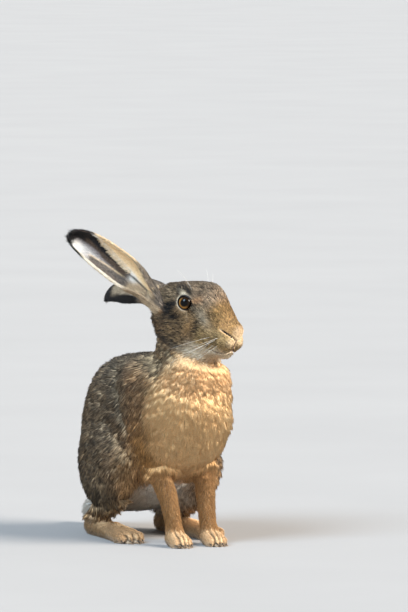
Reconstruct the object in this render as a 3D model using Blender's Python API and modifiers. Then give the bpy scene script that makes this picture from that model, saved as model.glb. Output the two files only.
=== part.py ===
"""A life-size brown hare that sits alert, its head turned to its left and its ears laid back.

The hare faces -Y, its left side is +X, and its soles rest on z = 0. The surface modelled here is
the outline of the coat. Stations are written in millimetres as (left, forward, up).
"""

import math

import bmesh
import bpy
import numpy as np
from mathutils import Matrix, Vector

MM = 0.001
GAP = 0.3

# Driving sizes of the animal, in millimetres.
HIND_FOOT_LENGTH = 142
EAR_LENGTH = 145
EYEBALL_RADIUS = 9.4
BACK_HEIGHT = 219
WITHERS_HEIGHT = 223
CHEST_FRONT = 162
RUMP_BACK = -100

# Where the feet stand, and each toe's place across its foot with how far forward it ends.
FORELEG_MIDDLE = 2
FORELEG_SPREAD = 22
HIND_TOE_MIDDLE = 52
FORE_TOES = ((-9.5, 147), (-3.2, 152), (3.2, 152), (9.5, 147))
HIND_TOES = ((-12.5, 76), (-4.5, 82), (4.5, 81), (12.5, 73))

# The head's own frame has its origin midway between the eyes: forward, left, up.
HEAD_ORIGIN = (4.5, 122, 281)
HEAD_YAW = math.radians(32)
HEAD_PITCH = math.radians(22)

# Fineness of the faceted solids.
VOXEL = 2.4
SMOOTH_ROUNDS = 10
WHOLE_TRIANGLES = 5800

SIDES = {"right": -1, "left": 1}


def clear_scene():
    for obj in list(bpy.data.objects):
        bpy.data.objects.remove(obj)


def at(left, forward, up):
    """A point of the hare's frame, in metres."""
    return Vector((left, -forward, up)) * MM


def head_axes():
    """The head's forward, left and up directions."""
    level = Vector((math.sin(HEAD_YAW), -math.cos(HEAD_YAW), 0))
    left = Vector((math.cos(HEAD_YAW), math.sin(HEAD_YAW), 0))
    rise = Vector((0, 0, 1))
    forward = level * math.cos(HEAD_PITCH) - rise * math.sin(HEAD_PITCH)
    up = level * math.sin(HEAD_PITCH) + rise * math.cos(HEAD_PITCH)
    return forward, left, up


def on_head(forward, left, up):
    """A point given in the head's own frame, in metres."""
    ahead, aside, above = head_axes()
    return at(*HEAD_ORIGIN) + (ahead * forward + aside * left + above * up) * MM


def head_direction(forward, left, up):
    ahead, aside, above = head_axes()
    return (ahead * forward + aside * left + above * up).normalized()


def collection(name, hidden=False):
    made = bpy.data.collections.new(name)
    bpy.context.scene.collection.children.link(made)
    made.hide_render = hidden
    return made


def add_object(name, mesh, home):
    obj = bpy.data.objects.new(name, mesh)
    home.objects.link(obj)
    return obj


def spline(rows, steps):
    """A Catmull-Rom curve through rows of numbers, with so many steps between two rows."""
    rows = np.array(rows, float)
    padded = np.vstack([2 * rows[0] - rows[1], rows, 2 * rows[-1] - rows[-2]])
    curve = []
    for i in range(1, len(padded) - 2):
        p0, p1, p2, p3 = padded[i - 1 : i + 3]
        for t in np.arange(steps) / steps:
            curve.append(
                0.5
                * (
                    2 * p1
                    + (p2 - p0) * t
                    + (2 * p0 - 5 * p1 + 4 * p2 - p3) * t**2
                    + (3 * p1 - p0 - 3 * p2 + p3) * t**3
                )
            )
    curve.append(rows[-1])
    return np.array(curve)


def ring(centre, side, up, half_width, half_up, half_down, power, corners):
    """A rounded section. Power 2 is an ellipse, and a higher power is boxier."""
    points = []
    for i in range(corners):
        angle = 2 * math.pi * i / corners
        cosine, sine = math.cos(angle), math.sin(angle)
        across = math.copysign(abs(cosine) ** (2 / power), cosine) * half_width
        high = math.copysign(abs(sine) ** (2 / power), sine)
        high *= half_up if sine > 0 else half_down
        points.append(centre + side * across + up * high)
    return points


def skin_rings(name, rings, home):
    """A closed mesh over a row of rings, with a point at the middle of each end ring."""
    mesh = bmesh.new()
    rows = [[mesh.verts.new(point) for point in points] for points in rings]
    count = len(rows[0])
    for row, following in zip(rows, rows[1:]):
        for i in range(count):
            j = (i + 1) % count
            mesh.faces.new((row[i], row[j], following[j], following[i]))
    for row, points in ((rows[0], rings[0]), (rows[-1], rings[-1])):
        tip = mesh.verts.new(sum(points, Vector()) / count)
        for i in range(count):
            mesh.faces.new((row[i], row[(i + 1) % count], tip))
    bmesh.ops.recalc_face_normals(mesh, faces=mesh.faces)
    data = bpy.data.meshes.new(name)
    mesh.to_mesh(data)
    mesh.free()
    return add_object(name, data, home)


def upright_loft(name, stations, home, steps=3, corners=40):
    """A loft whose sections stand across the hare: forward, half width, top, bottom, power."""
    rings = []
    for forward, half_width, top, bottom, power in spline(stations, steps):
        middle = (top + bottom) / 2
        half = (top - bottom) / 2 * MM
        centre = at(0, forward, middle)
        sizes = (half_width * MM, half, half, power)
        rings.append(ring(centre, Vector((1, 0, 0)), Vector((0, 0, 1)), *sizes, corners))
    return skin_rings(name, rings, home)


def head_loft(name, stations, home, steps=3, corners=40):
    """A loft along the head: forward, half width, top, bottom, power."""
    _, aside, above = head_axes()
    rings = []
    for forward, half_width, top, bottom, power in spline(stations, steps):
        half = (top - bottom) / 2 * MM
        centre = on_head(forward, 0, (top + bottom) / 2)
        rings.append(ring(centre, aside, above, half_width * MM, half, half, power, corners))
    return skin_rings(name, rings, home)


def limb_loft(name, stations, home, steps=4, corners=24, power=2.0):
    """A loft along a limb: left, forward, up, half size across the hare, half size the other way."""
    rows = spline(stations, steps)
    centres = [at(*row[:3]) for row in rows]
    rings = []
    for i, row in enumerate(rows):
        along = centres[min(i + 1, len(rows) - 1)] - centres[max(i - 1, 0)]
        up = along.cross(Vector((1, 0, 0))).normalized()
        side = up.cross(along).normalized()
        half = row[4] * MM
        rings.append(ring(centres[i], side, up, row[3] * MM, half, half, power, corners))
    return skin_rings(name, rings, home)


def ellipsoid(name, centre, radii, home, axes=None, corners=24):
    """An ellipsoid with its radii, in millimetres, along three directions."""
    mesh = bmesh.new()
    bmesh.ops.create_uvsphere(mesh, u_segments=corners, v_segments=corners // 2, radius=1)
    columns = axes or (Vector((1, 0, 0)), Vector((0, 1, 0)), Vector((0, 0, 1)))
    turned = Matrix([axis * radius * MM for axis, radius in zip(columns, radii)]).transposed()
    bmesh.ops.transform(mesh, matrix=Matrix.Translation(centre) @ turned.to_4x4(), verts=mesh.verts)
    if turned.determinant() < 0:
        bmesh.ops.reverse_faces(mesh, faces=mesh.faces)
    data = bpy.data.meshes.new(name)
    mesh.to_mesh(data)
    mesh.free()
    return add_object(name, data, home)


def box(name, centre, sizes, home, axes=None):
    """A box with its sizes, in metres, along three directions."""
    columns = axes or (Vector((1, 0, 0)), Vector((0, 1, 0)), Vector((0, 0, 1)))
    turned = Matrix([axis * abs(size) for axis, size in zip(columns, sizes)]).transposed()
    mesh = bmesh.new()
    bmesh.ops.create_cube(mesh, size=1, matrix=Matrix.Translation(centre) @ turned.to_4x4())
    if turned.determinant() < 0:
        bmesh.ops.reverse_faces(mesh, faces=mesh.faces)
    data = bpy.data.meshes.new(name)
    mesh.to_mesh(data)
    mesh.free()
    return add_object(name, data, home)


def block(name, low, high, home):
    """A box between two corners given as (left, forward, up)."""
    first, second = at(*low), at(*high)
    return box(name, (first + second) / 2, second - first, home)


def half_space(name, point, normal, home, size=600):
    """A large block whose near face passes through the point and that lies on the normal's side."""
    mesh = bmesh.new()
    bmesh.ops.create_cube(mesh, size=size * MM)
    turn = normal.to_track_quat("Z", "Y").to_matrix().to_4x4()
    move = Matrix.Translation(point) @ turn @ Matrix.Translation((0, 0, size * MM / 2))
    bmesh.ops.transform(mesh, matrix=move, verts=mesh.verts)
    data = bpy.data.meshes.new(name)
    mesh.to_mesh(data)
    mesh.free()
    return add_object(name, data, home)


def applied(obj):
    """Applies the object's modifiers."""
    graph = bpy.context.evaluated_depsgraph_get()
    made = bpy.data.meshes.new_from_object(obj.evaluated_get(graph))
    obj.modifiers.clear()
    obj.data = made
    return obj


def boolean(obj, others, operation, solver="EXACT"):
    """Joins the others to the object, or cuts it with them, and removes them."""
    group = bpy.data.collections.new("operands")
    for other in others:
        group.objects.link(other)
    modifier = obj.modifiers.new(operation.lower(), "BOOLEAN")
    modifier.operation = operation
    modifier.solver = solver
    if len(others) == 1:
        modifier.object = others[0]
    else:
        modifier.operand_type = "COLLECTION"
        modifier.collection = group
    bpy.context.view_layer.update()
    applied(obj)
    for other in others:
        bpy.data.objects.remove(other)
    bpy.data.collections.remove(group)
    return keep_largest(obj)


def keep_largest(obj):
    """Keeps the largest closed surface and drops loose scraps."""
    mesh = bmesh.new()
    mesh.from_mesh(obj.data)
    bmesh.ops.remove_doubles(mesh, verts=mesh.verts, dist=1e-6)
    bmesh.ops.triangulate(mesh, faces=mesh.faces)
    unseen = set(mesh.faces)
    shells = []
    while unseen:
        queue = [unseen.pop()]
        shell = []
        while queue:
            face = queue.pop()
            shell.append(face)
            for edge in face.edges:
                for other in edge.link_faces:
                    if other in unseen:
                        unseen.remove(other)
                        queue.append(other)
        shells.append(shell)
    shells.sort(key=lambda shell: sum(face.calc_area() for face in shell))
    scraps = [face for shell in shells[:-1] for face in shell]
    bmesh.ops.delete(mesh, geom=scraps, context="FACES")
    mesh.to_mesh(obj.data)
    mesh.free()
    return obj


def copy_of(obj, name, home):
    return add_object(name, obj.data.copy(), home)


def fuse(name, pieces, home):
    """Blends overlapping closed pieces into one smooth, evenly faceted body."""
    mesh = bmesh.new()
    for piece in pieces:
        mesh.from_mesh(piece.data)
    data = bpy.data.meshes.new(name)
    mesh.to_mesh(data)
    mesh.free()
    for piece in pieces:
        bpy.data.objects.remove(piece)
    body = add_object(name, data, home)
    remesh = body.modifiers.new("blend", "REMESH")
    remesh.mode = "VOXEL"
    remesh.voxel_size = VOXEL * MM
    smooth = body.modifiers.new("relax", "SMOOTH")
    smooth.factor = 0.5
    smooth.iterations = SMOOTH_ROUNDS
    applied(body)
    decimate = body.modifiers.new("facets", "DECIMATE")
    decimate.use_collapse_triangulate = True
    decimate.ratio = WHOLE_TRIANGLES / (2 * len(body.data.polygons))
    applied(body)
    return keep_largest(body)


def torso_piece(home):
    """The rounded back, deep chest and tucked belly, from the rump forward."""
    stations = [
        (RUMP_BACK, 9, 108, 76, 2.2),
        (-93, 33, 140, 50, 2.4),
        (-75, 51, 173, 33, 2.6),
        (-50, 62, 200, 24, 2.9),
        (-20, 66, 215, 26, 2.9),
        (15, 62, BACK_HEIGHT, 36, 2.7),
        (50, 58, BACK_HEIGHT + 2, 52, 2.6),
        (80, 58, WITHERS_HEIGHT, 68, 2.5),
        (105, 56, 220, 78, 2.4),
        (130, 47, 210, 93, 2.3),
        (150, 34, 194, 109, 2.1),
        (CHEST_FRONT, 10, 168, 140, 2.0),
    ]
    return upright_loft("torso", stations, home)


def chest_pieces(home):
    """Shoulder blades, the points of the shoulders and the ruff under the chin."""
    pieces = []
    for side in SIDES.values():
        pieces.append(ellipsoid("blade", at(32 * side, 62, 184), (25, 44, 37), home))
        pieces.append(ellipsoid("shoulder", at(35 * side, 98, 151), (20, 42, 52), home))
    pieces.append(ellipsoid("ruff", at(5, 113, 184), (47, 44, 48), home))
    return pieces


def neck_piece(home):
    stations = [
        (2, 66, 165, 42, 44),
        (3, 84, 195, 37, 42),
        (3, 96, 222, 34, 38),
        (1, 100, 245, 34, 35),
        (0, 104, 266, 29, 28),
        (0, 106, 280, 18, 17),
    ]
    return limb_loft("neck", stations, home, corners=32)


def head_pieces(home):
    """The skull's long oval with cheeks, brows, whisker pads, nose and chin."""
    stations = [
        (-47, 14, -4, -30, 2.0),
        (-38, 22, 7, -44, 2.2),
        (-25, 25, 14.5, -50, 2.4),
        (-10, 26, 21, -52, 2.6),
        (6, 25.5, 27, -53, 2.8),
        (17, 24.5, 28.5, -53, 2.9),
        (27, 23.5, 25, -52.5, 2.9),
        (36, 21.5, 18, -51.5, 2.8),
        (46, 20, 10.5, -49.5, 2.7),
        (56, 18, 3.5, -45, 2.6),
        (62, 15.5, -3, -41, 2.5),
        (66, 10, -10, -36, 2.3),
        (68, 4, -16, -30, 2.1),
    ]
    pieces = [head_loft("skull", stations, home)]
    axes = head_axes()
    for side in SIDES.values():
        pieces.append(ellipsoid("cheek", on_head(-10, 13 * side, -26), (25, 14, 24), home, axes))
        pieces.append(ellipsoid("brow", on_head(5, 15 * side, 15), (19, 9, 9), home, axes))
        pieces.append(ellipsoid("pad", on_head(58, 10 * side, -23), (13.5, 10.5, 12), home, axes))
    pieces.append(ellipsoid("nose", on_head(60, 0, -10), (12, 13.5, 12), home, axes))
    pieces.append(ellipsoid("chin", on_head(57, 0, -37), (11, 10, 8), home, axes))
    return pieces


def haunch_pieces(side, home):
    """The folded thigh and shank, and the heel."""
    thigh = [
        (34 * side, -64, 102, 16, 34),
        (44 * side, -40, 97, 25, 55),
        (49 * side, -5, 90, 25, 60),
        (51 * side, 30, 86, 23, 50),
        (53 * side, 58, 84, 18, 34),
        (53 * side, 72, 83, 8, 16),
    ]
    shank = [
        (52 * side, 48, 60, 14, 17),
        (50 * side, 5, 45, 15, 19),
        (46 * side, -38, 28, 13, 15),
        (45 * side, -52, 20, 10, 11),
        (44 * side, -58, 16, 6, 7),
    ]
    return [
        limb_loft("thigh", thigh, home, corners=32),
        limb_loft("shank", shank, home),
    ]


def hind_foot_pieces(side, home):
    """The long flat foot and its four toes."""
    heel = -62
    tip = heel + HIND_FOOT_LENGTH
    stations = [
        (44 * side, heel, 11.5, 5, 6),
        (44 * side, heel + 4, 11, 9.5, 10.5),
        (45 * side, heel + 12, 11, 12, 13),
        (46 * side, -28, 10, 13, 12.5),
        (48 * side, 2, 9, 13, 11.5),
        (50 * side, 30, 8, 14.5, 10.5),
        (51.5 * side, 52, 7.5, 17, 9.5),
        (52 * side, tip - 12, 6, 16, 8),
    ]
    pieces = [limb_loft("foot", stations, home, power=2.2)]
    for spread, reach in HIND_TOES:
        centre = at((HIND_TOE_MIDDLE + spread) * side, reach - 13, 6)
        pieces.append(ellipsoid("toe", centre, (5.4, 13, 8), home))
    return pieces


def foreleg_pieces(side, home):
    """The upper arm inside the chest, the straight forearm and the wrist."""
    foot = FORELEG_MIDDLE + FORELEG_SPREAD * side
    stations = [
        (36 * side, 92, 130, 18, 24),
        (34 * side, 88, 108, 18, 22),
        (1 + 28 * side, 96, 82, 14, 16),
        (2 + 24 * side, 107, 55, 11.5, 13),
        (foot, 115, 32, 10.5, 11.5),
        (foot, 120, 18, 10.8, 11.5),
        (foot, 122, 8, 10, 11),
    ]
    return [limb_loft("forearm", stations, home)]


def forepaw_pieces(side, home):
    """The front paw with its four forward toes."""
    foot = FORELEG_MIDDLE + FORELEG_SPREAD * side
    stations = [
        (foot, 112, 11, 10, 10),
        (foot, 124, 9.5, 13, 11),
        (foot, 138, 7, 13, 9),
        (foot, 147, 5.5, 10, 7),
    ]
    pieces = [limb_loft("paw", stations, home)]
    for spread, reach in FORE_TOES:
        centre = at(foot + spread * side, reach - 10, 5)
        pieces.append(ellipsoid("toe", centre, (4.2, 10, 7), home))
    return pieces


def claws(toes, middle, side, home):
    """Small tapered claws, one under the tip of each toe."""
    made = []
    for spread, reach in toes:
        root = at(middle + spread * side, reach - 6, 4.2)
        tip = at(middle + spread * side, reach + 2, 1.2)
        along = (tip - root).normalized()
        mesh = bmesh.new()
        bmesh.ops.create_cone(
            mesh,
            cap_ends=True,
            segments=8,
            radius1=1.6 * MM,
            radius2=0.4 * MM,
            depth=(tip - root).length,
        )
        turn = along.to_track_quat("Z", "Y").to_matrix().to_4x4()
        bmesh.ops.transform(mesh, matrix=Matrix.Translation((root + tip) / 2) @ turn, verts=mesh.verts)
        data = bpy.data.meshes.new("claw")
        mesh.to_mesh(data)
        mesh.free()
        made.append(add_object("claw", data, home))
    return made


def tail_piece(home):
    """The tail, laid back along the ground from under the rump."""
    stations = [
        (0, -76, 52, 14, 13),
        (0, -92, 44, 16, 14),
        (0, -112, 32, 19, 15),
        (0, -134, 23, 18, 14),
        (0, -152, 18, 12, 10),
        (0, -163, 16, 4, 4),
    ]
    return limb_loft("tail", stations, home)


def direction(left, forward, up):
    return at(left, forward, up).normalized()


# Each ear: where its root sits in the head, its length, which way it starts and ends, where its cup
# opens, and how much narrower its front margin is over the lower middle.
EARS = {
    "right": {
        "root": (-22, -15, -21),
        "length": EAR_LENGTH,
        "start": direction(-0.566, -0.351, 0.746),
        "end": direction(-0.763, -0.478, 0.435),
        "opens": direction(-0.397, 0.851, -0.342),
        "narrowed": 0.0,
    },
    "left": {
        "root": (-22, 15, -19),
        "length": EAR_LENGTH - 3,
        "start": direction(-0.15, -0.945, 0.335),
        "end": direction(-0.28, -0.90, -0.33),
        "opens": direction(0.46, -0.10, -0.88),
        "narrowed": 0.27,
    },
}

# The ear along its length: share, radius of its curl, front and rear margins' angles in degrees.
EAR_SECTIONS = [
    (0.00, 11.8, 165, 165),
    (0.12, 12.4, 165, 160),
    (0.20, 12.5, 162, 150),
    (0.28, 13.4, 152, 132),
    (0.36, 15.6, 136, 108),
    (0.46, 17.3, 116, 80),
    (0.58, 17.8, 102, 64),
    (0.70, 18.0, 90, 58),
    (0.80, 17.6, 78, 54),
    (0.88, 16.2, 70, 50),
    (0.94, 13.4, 64, 47),
    (0.98, 9.6, 58, 43),
    (1.00, 5.5, 52, 40),
]
EAR_WALL = 3.0
EAR_ACROSS = 10


def ear_path(word, share):
    """The middle of the ear's back at a share of its length, and the way it runs there."""
    ear = EARS[word]
    turn = ear["end"] - ear["start"]
    reach = ear["start"] * share + turn * share**2 / 2
    along = ear["start"] + turn * share
    return on_head(*ear["root"]) + reach * ear["length"] * MM, along.normalized()


def ear_point(word, row, across):
    """A point of the ear's curled sheet. Across runs from -1, the rear margin, to 1, the front."""
    share, radius, front, rear = row
    front *= 1 - EARS[word]["narrowed"] * math.exp(-(((share - 0.36) / 0.2) ** 2))
    centre, along = ear_path(word, share)
    opens = EARS[word]["opens"]
    opens = (opens - along * opens.dot(along)).normalized()
    to_front = along.cross(opens) * SIDES[word]
    angle = math.radians(across * (front if across > 0 else rear))
    bend = to_front * math.sin(angle) - opens * math.cos(angle)
    return centre + bend * radius * MM


def ear_sheet(word, home):
    """The ear's cartilage and skin, a sheet rolled at the root and open towards the tip."""
    mesh = bmesh.new()
    rows = []
    for row in spline(EAR_SECTIONS, 2):
        shares = [2 * i / EAR_ACROSS - 1 for i in range(EAR_ACROSS + 1)]
        rows.append([mesh.verts.new(ear_point(word, row, across)) for across in shares])
    for first, second in zip(rows, rows[1:]):
        for i in range(EAR_ACROSS):
            mesh.faces.new((first[i], first[i + 1], second[i + 1], second[i]))
    bmesh.ops.triangulate(mesh, faces=mesh.faces, quad_method="FIXED")
    data = bpy.data.meshes.new("ear")
    mesh.to_mesh(data)
    mesh.free()
    sheet = add_object("ear_" + word, data, home)
    wall = sheet.modifiers.new("wall", "SOLIDIFY")
    wall.thickness = EAR_WALL * MM
    wall.offset = 0
    applied(sheet)
    return recalculated(sheet)


def recalculated(obj):
    mesh = bmesh.new()
    mesh.from_mesh(obj.data)
    bmesh.ops.recalc_face_normals(mesh, faces=mesh.faces)
    mesh.to_mesh(obj.data)
    mesh.free()
    return obj


def grown_copy(obj, home, amount):
    """The object pushed out along its normals, as a cutter that leaves a gap."""
    cutter = copy_of(obj, "cut", home)
    move = cutter.modifiers.new("grow", "DISPLACE")
    move.mid_level = 0
    move.strength = amount * MM
    return applied(cutter)


def ear(word, body, home, cutters):
    """The whole ear, closed at its root by a plug and fitted to the head and nape."""
    sheet = ear_sheet(word, home)
    ahead = EARS[word]["start"]
    aside = ahead.orthogonal().normalized()
    axes = (aside, ahead.cross(aside), ahead)
    centre, _ = ear_path(word, 0.06)
    plug = ellipsoid("plug", centre, (14, 14, 20), cutters, axes, corners=16)
    boolean(sheet, [plug], "UNION")
    return boolean(sheet, [grown_copy(body, cutters, GAP)], "DIFFERENCE")


EYE_CORNERS = 20
LID_WALL = 2.0
EYE_PLACE = (0, 17, 0)
EYE_LOOKS = (0.22, 0.96, 0.14)


def eye_axes(side):
    """The eye's line of sight, its long way and its upright."""
    looks = head_direction(EYE_LOOKS[0], EYE_LOOKS[1] * side, EYE_LOOKS[2])
    long_way = head_direction(0.97, 0, -0.14)
    long_way = (long_way - looks * long_way.dot(looks)).normalized()
    return looks, long_way, looks.cross(long_way).normalized() * -side


def eye_centre(side):
    return on_head(EYE_PLACE[0], EYE_PLACE[1] * side, EYE_PLACE[2])


def eyeball(word, home):
    radii = (EYEBALL_RADIUS,) * 3
    return ellipsoid("eye_" + word, eye_centre(SIDES[word]), radii, home, corners=EYE_CORNERS)


def open_eyes(head, cutters):
    """Adds the lids as a thin shell over each eyeball and cuts the opening between them."""
    for side in SIDES.values():
        looks, long_way, upright = eye_axes(side)
        axes = (long_way, upright, looks)
        centre = eye_centre(side)
        lid = (EYEBALL_RADIUS + LID_WALL + GAP,) * 3
        socket = (EYEBALL_RADIUS + GAP,) * 3
        middle = centre + looks * 12 * MM
        inner = centre + (looks * 10.5 + long_way * 8.2 - upright * 2.6) * MM
        boolean(head, [ellipsoid("lid", centre, lid, cutters, corners=EYE_CORNERS)], "UNION")
        openings = [
            ellipsoid("socket", centre, socket, cutters, corners=EYE_CORNERS),
            ellipsoid("opening", middle, (8.6, 7.2, 8), cutters, axes, corners=20),
            ellipsoid("corner", inner, (3.2, 1.7, 4), cutters, axes, corners=10),
        ]
        boolean(head, openings, "DIFFERENCE")


def groove(head, guide, radius, cutters):
    """A groove along guide points that are first brought onto the head's surface."""
    points = []
    for row in spline(guide, 3):
        _, spot, _, _ = head.closest_point_on_mesh(on_head(*row))
        points.append(spot)
    rings = []
    for i, point in enumerate(points):
        along = points[min(i + 1, len(points) - 1)] - points[max(i - 1, 0)]
        side = along.orthogonal().normalized()
        up = along.cross(side).normalized()
        taper = 0.35 if i in (0, len(points) - 1) else 1
        size = radius * taper * MM
        rings.append(ring(point, side, up, size, size, size, 2.0, 8))
    boolean(head, [skin_rings("groove", rings, cutters)], "DIFFERENCE")


def face_lines(head, cutters):
    """The slit nostrils, the cleft of the upper lip and the line of the mouth."""
    for side in SIDES.values():
        nostril = [(53, 15 * side, -10), (60, 9.5 * side, -13), (67, 1.6 * side, -17)]
        groove(head, nostril, 1.1, cutters)
        mouth = [(68, 1 * side, -30), (66, 8 * side, -34), (58, 15 * side, -37), (46, 19 * side, -37)]
        groove(head, mouth, 0.9, cutters)
    groove(head, [(69, 0, -18), (70, 0, -24), (68, 0, -31)], 0.9, cutters)


def whole_body(home):
    """The whole animal without ears, eyes and claws, its soles cut flat at z = 0."""
    pieces = [torso_piece(home), neck_piece(home), tail_piece(home)]
    pieces += chest_pieces(home) + head_pieces(home)
    for side in SIDES.values():
        pieces += haunch_pieces(side, home) + hind_foot_pieces(side, home)
        pieces += foreleg_pieces(side, home) + forepaw_pieces(side, home)
    body = fuse("hare", pieces, home)
    floor = block("floor", (-300, -300, -60), (300, 300, 0), home)
    return boolean(body, [floor], "DIFFERENCE")


# Cut volumes. Each takes a node from the whole; grown by the gap it leaves the neighbour clear.


def head_volume(home, grown=0.0):
    """A box in the head's own frame that ends behind the ears and under the jaw."""
    low = (-38 - grown, -100, -52 - grown)
    high = (162, 100, 148)
    middle = on_head(*((first + second) / 2 for first, second in zip(low, high)))
    sizes = [(second - first) * MM for first, second in zip(low, high)]
    return box("cut", middle, sizes, home, head_axes())


def above_neck_base(home, grown=0.0):
    """Everything above the slanting plane where the neck leaves the shoulders."""
    normal = at(0, 0.42, 0.91).normalized()
    return half_space("cut", at(0, 84, 214) - normal * grown * MM, normal, home)


def haunch_volume(side, home, grown=0.0):
    radii = [size + grown for size in (34, 88, 84)]
    return ellipsoid("cut", at(58 * side, -2, 76), radii, home, corners=20)


def hind_foot_volume(side, home, grown=0.0):
    low = (16 * side - grown * side, -90 - grown, -20)
    high = (90 * side, 95 + grown, 23 + grown)
    return block("cut", low, high, home)


def foreleg_volume(side, home, grown=0.0):
    radii = [size + grown for size in (23, 34, 100)]
    forward, up = Vector((0, -1, 0)), Vector((0, 0, 1))
    lean = math.radians(-14)
    long_way = up * math.cos(lean) + forward * math.sin(lean)
    cross_way = forward * math.cos(lean) - up * math.sin(lean)
    axes = (Vector((1, 0, 0)), cross_way, long_way)
    centre = at(FORELEG_MIDDLE + 26 * side, 107, 25)
    return ellipsoid("cut", centre, radii, home, axes, corners=16)


def forepaw_volume(side, home, grown=0.0):
    low = (2 * side, 96.5 - grown, -20)
    high = (60 * side, 175, 22 + grown)
    return block("cut", low, high, home)


def tail_volume(home, grown=0.0):
    normal = at(0, -0.9, -0.42).normalized()
    return half_space("cut", at(0, -93, 44) - normal * grown * MM, normal, home)


def part_body(body, home, cutters):
    """Parts the whole with thin cuts and returns the nodes of the body by name."""
    nodes = {}

    def taken(name, keep, clear=()):
        node = copy_of(body, name, home)
        boolean(node, [keep], "INTERSECT")
        for cutter in clear:
            boolean(node, [cutter], "DIFFERENCE")
        nodes[name] = node

    taken("head", head_volume(cutters))
    for word in SIDES:
        nodes["ear_" + word] = ear(word, body, home, cutters)
    open_eyes(nodes["head"], cutters)
    face_lines(nodes["head"], cutters)
    for word in SIDES:
        nodes["eye_" + word] = eyeball(word, home)
    taken("neck", above_neck_base(cutters), [head_volume(cutters, GAP)])
    torso_clear = [above_neck_base(cutters, GAP), tail_volume(cutters, GAP)]
    torso_clear += [head_volume(cutters, GAP)]
    tail_reach = block("cut", (-40, -200, -10), (40, -60, 70), cutters)
    taken("tail", tail_volume(cutters))
    boolean(nodes["tail"], [tail_reach], "INTERSECT")
    for word, side in SIDES.items():
        taken(f"hind_foot_{word}", hind_foot_volume(side, cutters))
        hind_claws = claws(HIND_TOES, HIND_TOE_MIDDLE * side, side, cutters)
        boolean(nodes[f"hind_foot_{word}"], hind_claws, "UNION")
        haunch_clear = [hind_foot_volume(side, cutters, GAP), foreleg_volume(side, cutters, GAP)]
        taken(f"haunch_{word}", haunch_volume(side, cutters), haunch_clear)
        taken(f"forepaw_{word}", forepaw_volume(side, cutters))
        fore_claws = claws(FORE_TOES, FORELEG_MIDDLE + FORELEG_SPREAD * side, side, cutters)
        boolean(nodes[f"forepaw_{word}"], fore_claws, "UNION")
        taken(f"foreleg_{word}", foreleg_volume(side, cutters), [forepaw_volume(side, cutters, GAP)])
        torso_clear += [
            hind_foot_volume(side, cutters, GAP),
            haunch_volume(side, cutters, GAP),
            foreleg_volume(side, cutters, GAP),
            forepaw_volume(side, cutters, GAP),
        ]
    torso = copy_of(body, "torso", home)
    for cutter in torso_clear:
        boolean(torso, [cutter], "DIFFERENCE")
    nodes["torso"] = torso
    bpy.data.objects.remove(body)
    return nodes


def material(name, colour, roughness):
    made = bpy.data.materials.new(name)
    made.use_nodes = True
    shader = made.node_tree.nodes["Principled BSDF"]
    shader.inputs["Base Color"].default_value = (*colour, 1)
    shader.inputs["Roughness"].default_value = roughness
    shader.inputs["Metallic"].default_value = 0
    made.diffuse_color = (*colour, 1)
    return made


# Each material: its colour, its roughness and the first words of the nodes that have it.
MATERIALS = {
    "fur_grizzled_brown": ((0.16, 0.11, 0.07), 0.9, ("head", "neck", "haunch")),
    "fur_rufous_buff": ((0.33, 0.19, 0.10), 0.9, ("torso", "foreleg")),
    "fur_short_buff": ((0.36, 0.24, 0.14), 0.9, ("forepaw", "hind_foot")),
    "ear_skin_and_fur": ((0.30, 0.24, 0.19), 0.8, ("ear",)),
    "tail_fur": ((0.45, 0.41, 0.37), 0.9, ("tail",)),
    "eye_amber": ((0.22, 0.10, 0.03), 0.1, ("eye",)),
}


def give_materials(nodes):
    for name, (colour, roughness, starts) in MATERIALS.items():
        made = material(name, colour, roughness)
        for word, node in nodes.items():
            if word.startswith(starts):
                node.data.materials.clear()
                node.data.materials.append(made)


def centre_on_floor(nodes):
    """Moves every node so that the middle of the whole's box is over the origin, its base at z = 0."""
    corners = np.array([vertex.co for node in nodes.values() for vertex in node.data.vertices])
    low, high = corners.min(axis=0), corners.max(axis=0)
    move = Vector((-(low[0] + high[0]) / 2, -(low[1] + high[1]) / 2, -low[2]))
    for node in nodes.values():
        node.data.transform(Matrix.Translation(move))


def main():
    clear_scene()
    home = collection("brown_hare")
    cutters = collection("cutters", hidden=True)
    body = whole_body(home)
    nodes = part_body(body, home, cutters)
    give_materials(nodes)
    centre_on_floor(nodes)
    for node in nodes.values():
        node.data.shade_smooth()


main()
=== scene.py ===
"""A life-size brown hare in its coat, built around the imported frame.

Lengths are millimetres in the row frame until a mesh is made. The hare's own frame is
(left, forward, up). The head's own frame is (forward, left, up) from midway between the eyes.
"""

import math

import bmesh
import bpy
import numpy as np
from mathutils import Matrix, Vector, noise
from mathutils.bvhtree import BVHTree
from mathutils.kdtree import KDTree


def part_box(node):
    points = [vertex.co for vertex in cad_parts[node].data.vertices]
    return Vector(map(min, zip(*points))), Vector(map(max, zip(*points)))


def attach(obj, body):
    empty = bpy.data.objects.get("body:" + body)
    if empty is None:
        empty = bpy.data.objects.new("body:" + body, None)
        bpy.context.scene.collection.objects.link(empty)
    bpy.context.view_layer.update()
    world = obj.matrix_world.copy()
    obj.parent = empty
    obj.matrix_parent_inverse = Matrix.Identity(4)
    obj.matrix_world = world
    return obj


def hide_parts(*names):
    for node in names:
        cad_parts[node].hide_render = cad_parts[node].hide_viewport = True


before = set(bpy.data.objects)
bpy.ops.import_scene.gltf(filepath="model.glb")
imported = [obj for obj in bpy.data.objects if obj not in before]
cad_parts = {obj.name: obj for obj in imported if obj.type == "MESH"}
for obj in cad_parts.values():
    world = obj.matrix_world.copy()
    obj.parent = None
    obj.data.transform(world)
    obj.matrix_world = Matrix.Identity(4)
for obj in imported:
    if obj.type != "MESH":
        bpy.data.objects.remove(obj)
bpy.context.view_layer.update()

MM = 0.001
rng = np.random.default_rng(11)
SIDES = {"right": -1, "left": 1}


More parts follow.
